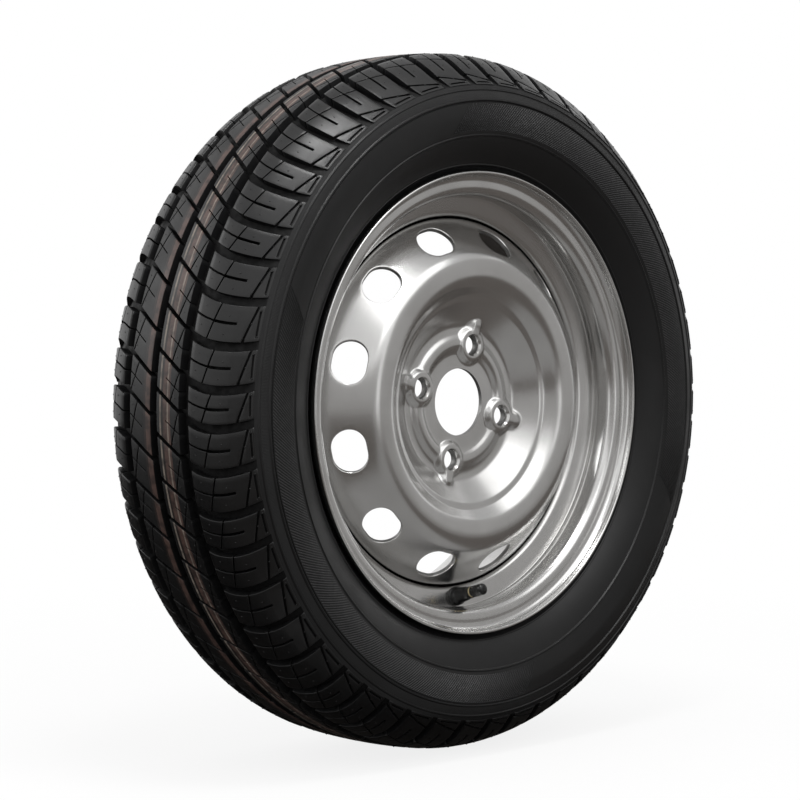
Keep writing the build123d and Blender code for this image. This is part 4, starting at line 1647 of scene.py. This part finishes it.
class TyreCasing(bpy.types.Operator):
    """Build the tyre's body with the rings and ridges of its sidewalls"""

    bl_idname = "wheel.tyre_casing"
    bl_label = "Tyre casing"

    def execute(self, context):
        looks = context.scene.tyre_looks
        wall = tyre_material("wall_rubber", bloom=0.10, gloss=0.38, rough=0.36)
        # A darker copy of the rubber for the tread's floor: painted shade in the grooves
        groove = small_finish("groove_shade_rubber", toned(looks.rubber, 0.5))
        rides(build_casing(wall, groove), "wheel", "tyre_rubber", "tyre")
        # Lighter rubber on the hatch ridges: painted highlight
        ridge = small_finish("ridge_highlight_rubber", looks.ridge)
        rides(build_hatching(ridge, wall), "wheel", "tyre_rubber")
        return {"FINISHED"}


class TreadBlocks(bpy.types.Operator):
    """Build the four rows of tread blocks with their slits, and the mould's nibs"""

    bl_idname = "wheel.tread_blocks"
    bl_label = "Tread blocks"

    def execute(self, context):
        looks = context.scene.tyre_looks
        # Axial middle, half width, strength and colour of each stripe
        stripes = [
            (-16.0, 4.2, 0.75, looks.stripe),
            (-17.2, 0.7, 0.9, looks.pale_stripe),
            (-8.6, 0.9, 0.9, looks.pale_stripe),
            (-11.0, 0.7, 0.7, toned(looks.stripe, 0.3)),
            (7.0, 2.9, 0.7, looks.stripe),
            (11.4, 0.6, 0.7, toned(looks.stripe, 0.35)),
        ]
        cut = small_finish("cut_rubber", toned(looks.rubber, 1.4))
        plain = tyre_material("tread_rubber", bloom=0.35, gloss=0.5, rough=0.33)
        striped = tyre_material("striped_rubber", bloom=0.35, gloss=0.4, rough=0.42, stripes=stripes)
        rows = tread_rows()
        names = ["near_shoulder_blocks", "near_rib_blocks", "far_rib_blocks", "far_shoulder_blocks"]
        for name, row, finish in zip(names, rows, [plain, striped, striped, plain]):
            rides(build_row(name, row, [finish, cut]), "wheel", "tyre_rubber")
        rides(build_pips(rows, plain), "wheel", "tyre_rubber")
        return {"FINISHED"}


class SteelWheel(bpy.types.Operator):
    """Build the rolled rim, the pressed disc and the welds between them"""

    bl_idname = "wheel.steel_wheel"
    bl_label = "Steel wheel"

    def execute(self, context):
        silver = silver_material()
        rides(build_rim(silver), "wheel", "silver_paint", "rim")
        # Hole walls in a darker paint: partly painted shade inside the holes, partly the rough cut edge
        edge = small_finish("punched_edge_shade", toned(context.scene.wheel_looks.paint_shade, 0.5))
        rides(build_disc(silver, edge), "wheel", "silver_paint", "wheel_disc")
        rides(build_welds(weld_material()), "wheel", "weld_metal", "weld_seams")
        return {"FINISHED"}


class InflationValve(bpy.types.Operator):
    """Build the valve's body, stem and cap, and dress the small parts inside"""

    bl_idname = "wheel.inflation_valve"
    bl_label = "Inflation valve"

    def execute(self, context):
        looks = context.scene.valve_looks
        rubber = small_finish("valve_rubber", looks.rubber)
        brass = small_finish("turned_brass", looks.brass)
        plastic = small_finish("cap_plastic", looks.cap)
        seal = small_finish("seal_rubber", SEAL_RED)
        steel = small_finish("spring_steel", STEEL)
        rides(build_valve_rubber(rubber), "wheel", "valve_rubber", "valve_rubber")
        rides(build_valve_stem(brass), "wheel", "brass", "valve_stem")
        rides(build_valve_cap(plastic), "cap", "cap_plastic", "valve_cap")
        for node in ("core_plug", "core_barrel", "core_pin"):
            dress(node, brass)
        for node in ("cap_seal", "core_seal", "core_cup"):
            dress(node, seal)
        spring = rides(build_spring(steel), "wheel", "spring_steel", "core_spring")
        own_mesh(spring)
        return {"FINISHED"}


class Studio(bpy.types.Operator):
    """Build the floor, the surround, the cards, the lamps and the camera"""

    bl_idname = "wheel.studio"
    bl_label = "Studio"

    def execute(self, context):
        looks = context.scene.stage_looks
        build_floor(looks.floor)
        build_world()
        low = CAD_BOX[0][2] + CARD_GAP
        dark = toned(looks.shade, 0.2)
        grey = toned(looks.room, 0.75)
        dim = toned(looks.ceiling, 0.65)
        build_card("front_floor_card", (4.6, 2.3), (0.0, -1.27, low), (0.0, -1.27, 5), looks.shade)
        build_card("near_floor_card", (0.46, 1.1), (-0.08, -0.67, low + 0.001), (-0.08, -0.67, 5), grey)
        build_card("back_floor_card", (4.6, 2.4), (-0.6, 1.08, low), (-0.6, 1.08, 5), dark)
        build_card("side_card", (2.4, 1.8), (1.25, -1.35, 0.3), (0, 0, 0), looks.room)
        build_card("camera_card", (3.0, 1.3), (-1.5, -2.2, 0.1), (0, 0, 0), looks.room)
        build_card("left_ceiling_card", (2.7, 6.0), (-1.7, -0.6, 2.3), (-1.7, -0.6, 0), looks.ceiling)
        build_card("right_ceiling_card", (3.4, 6.0), (1.35, -0.6, 2.3), (1.35, -0.6, 0), dim)
        add_lamp("key_lamp", looks.key, (1.9, 1.2), (0.08, -1.42, 1.42))
        add_lamp("top_lamp", looks.top, (0.5, 0.3), (-0.3, -0.42, 1.4), (-0.17, -0.07, 0.2))
        add_lamp("back_lamp", looks.back, (0.9, 0.9), (-1.16, 1.13, 0.8))
        build_camera()
        context.scene.view_settings.view_transform = "Standard"
        return {"FINISHED"}


class WheelPanel(bpy.types.Panel):
    """Sizes, colours and build steps of the wheel"""

    bl_idname = "VIEW3D_PT_wheel"
    bl_label = "Wheel and tyre"
    bl_space_type = "VIEW_3D"
    bl_region_type = "UI"
    bl_category = "Wheel"

    def draw(self, context):
        for group in GROUPS:
            looks = getattr(context.scene, group)
            box = self.layout.box()
            for key in looks.__annotations__:
                box.prop(looks, key)
        for step in STEPS:
            self.layout.operator(step.bl_idname)


GROUPS = {
    "tyre_looks": TyreLooks,
    "wheel_looks": WheelLooks,
    "valve_looks": ValveLooks,
    "stage_looks": StageLooks,
}
STEPS = [TyreCasing, TreadBlocks, SteelWheel, InflationValve, Studio]


def register():
    """Makes the classes known and gives the scene their settings."""
    for kind in (*GROUPS.values(), *STEPS, WheelPanel):
        bpy.utils.register_class(kind)
    for name, kind in GROUPS.items():
        setattr(bpy.types.Scene, name, PointerProperty(type=kind))


def unregister():
    """Takes the settings and the classes away again."""
    for name in GROUPS:
        delattr(bpy.types.Scene, name)
    for kind in (WheelPanel, *reversed(STEPS), *reversed(GROUPS.values())):
        bpy.utils.unregister_class(kind)


def main():
    """Builds every piece in order."""
    register()
    bpy.ops.wheel.tyre_casing()
    bpy.ops.wheel.tread_blocks()
    bpy.ops.wheel.steel_wheel()
    bpy.ops.wheel.inflation_valve()
    bpy.ops.wheel.studio()


if __name__ == "__main__":
    main()
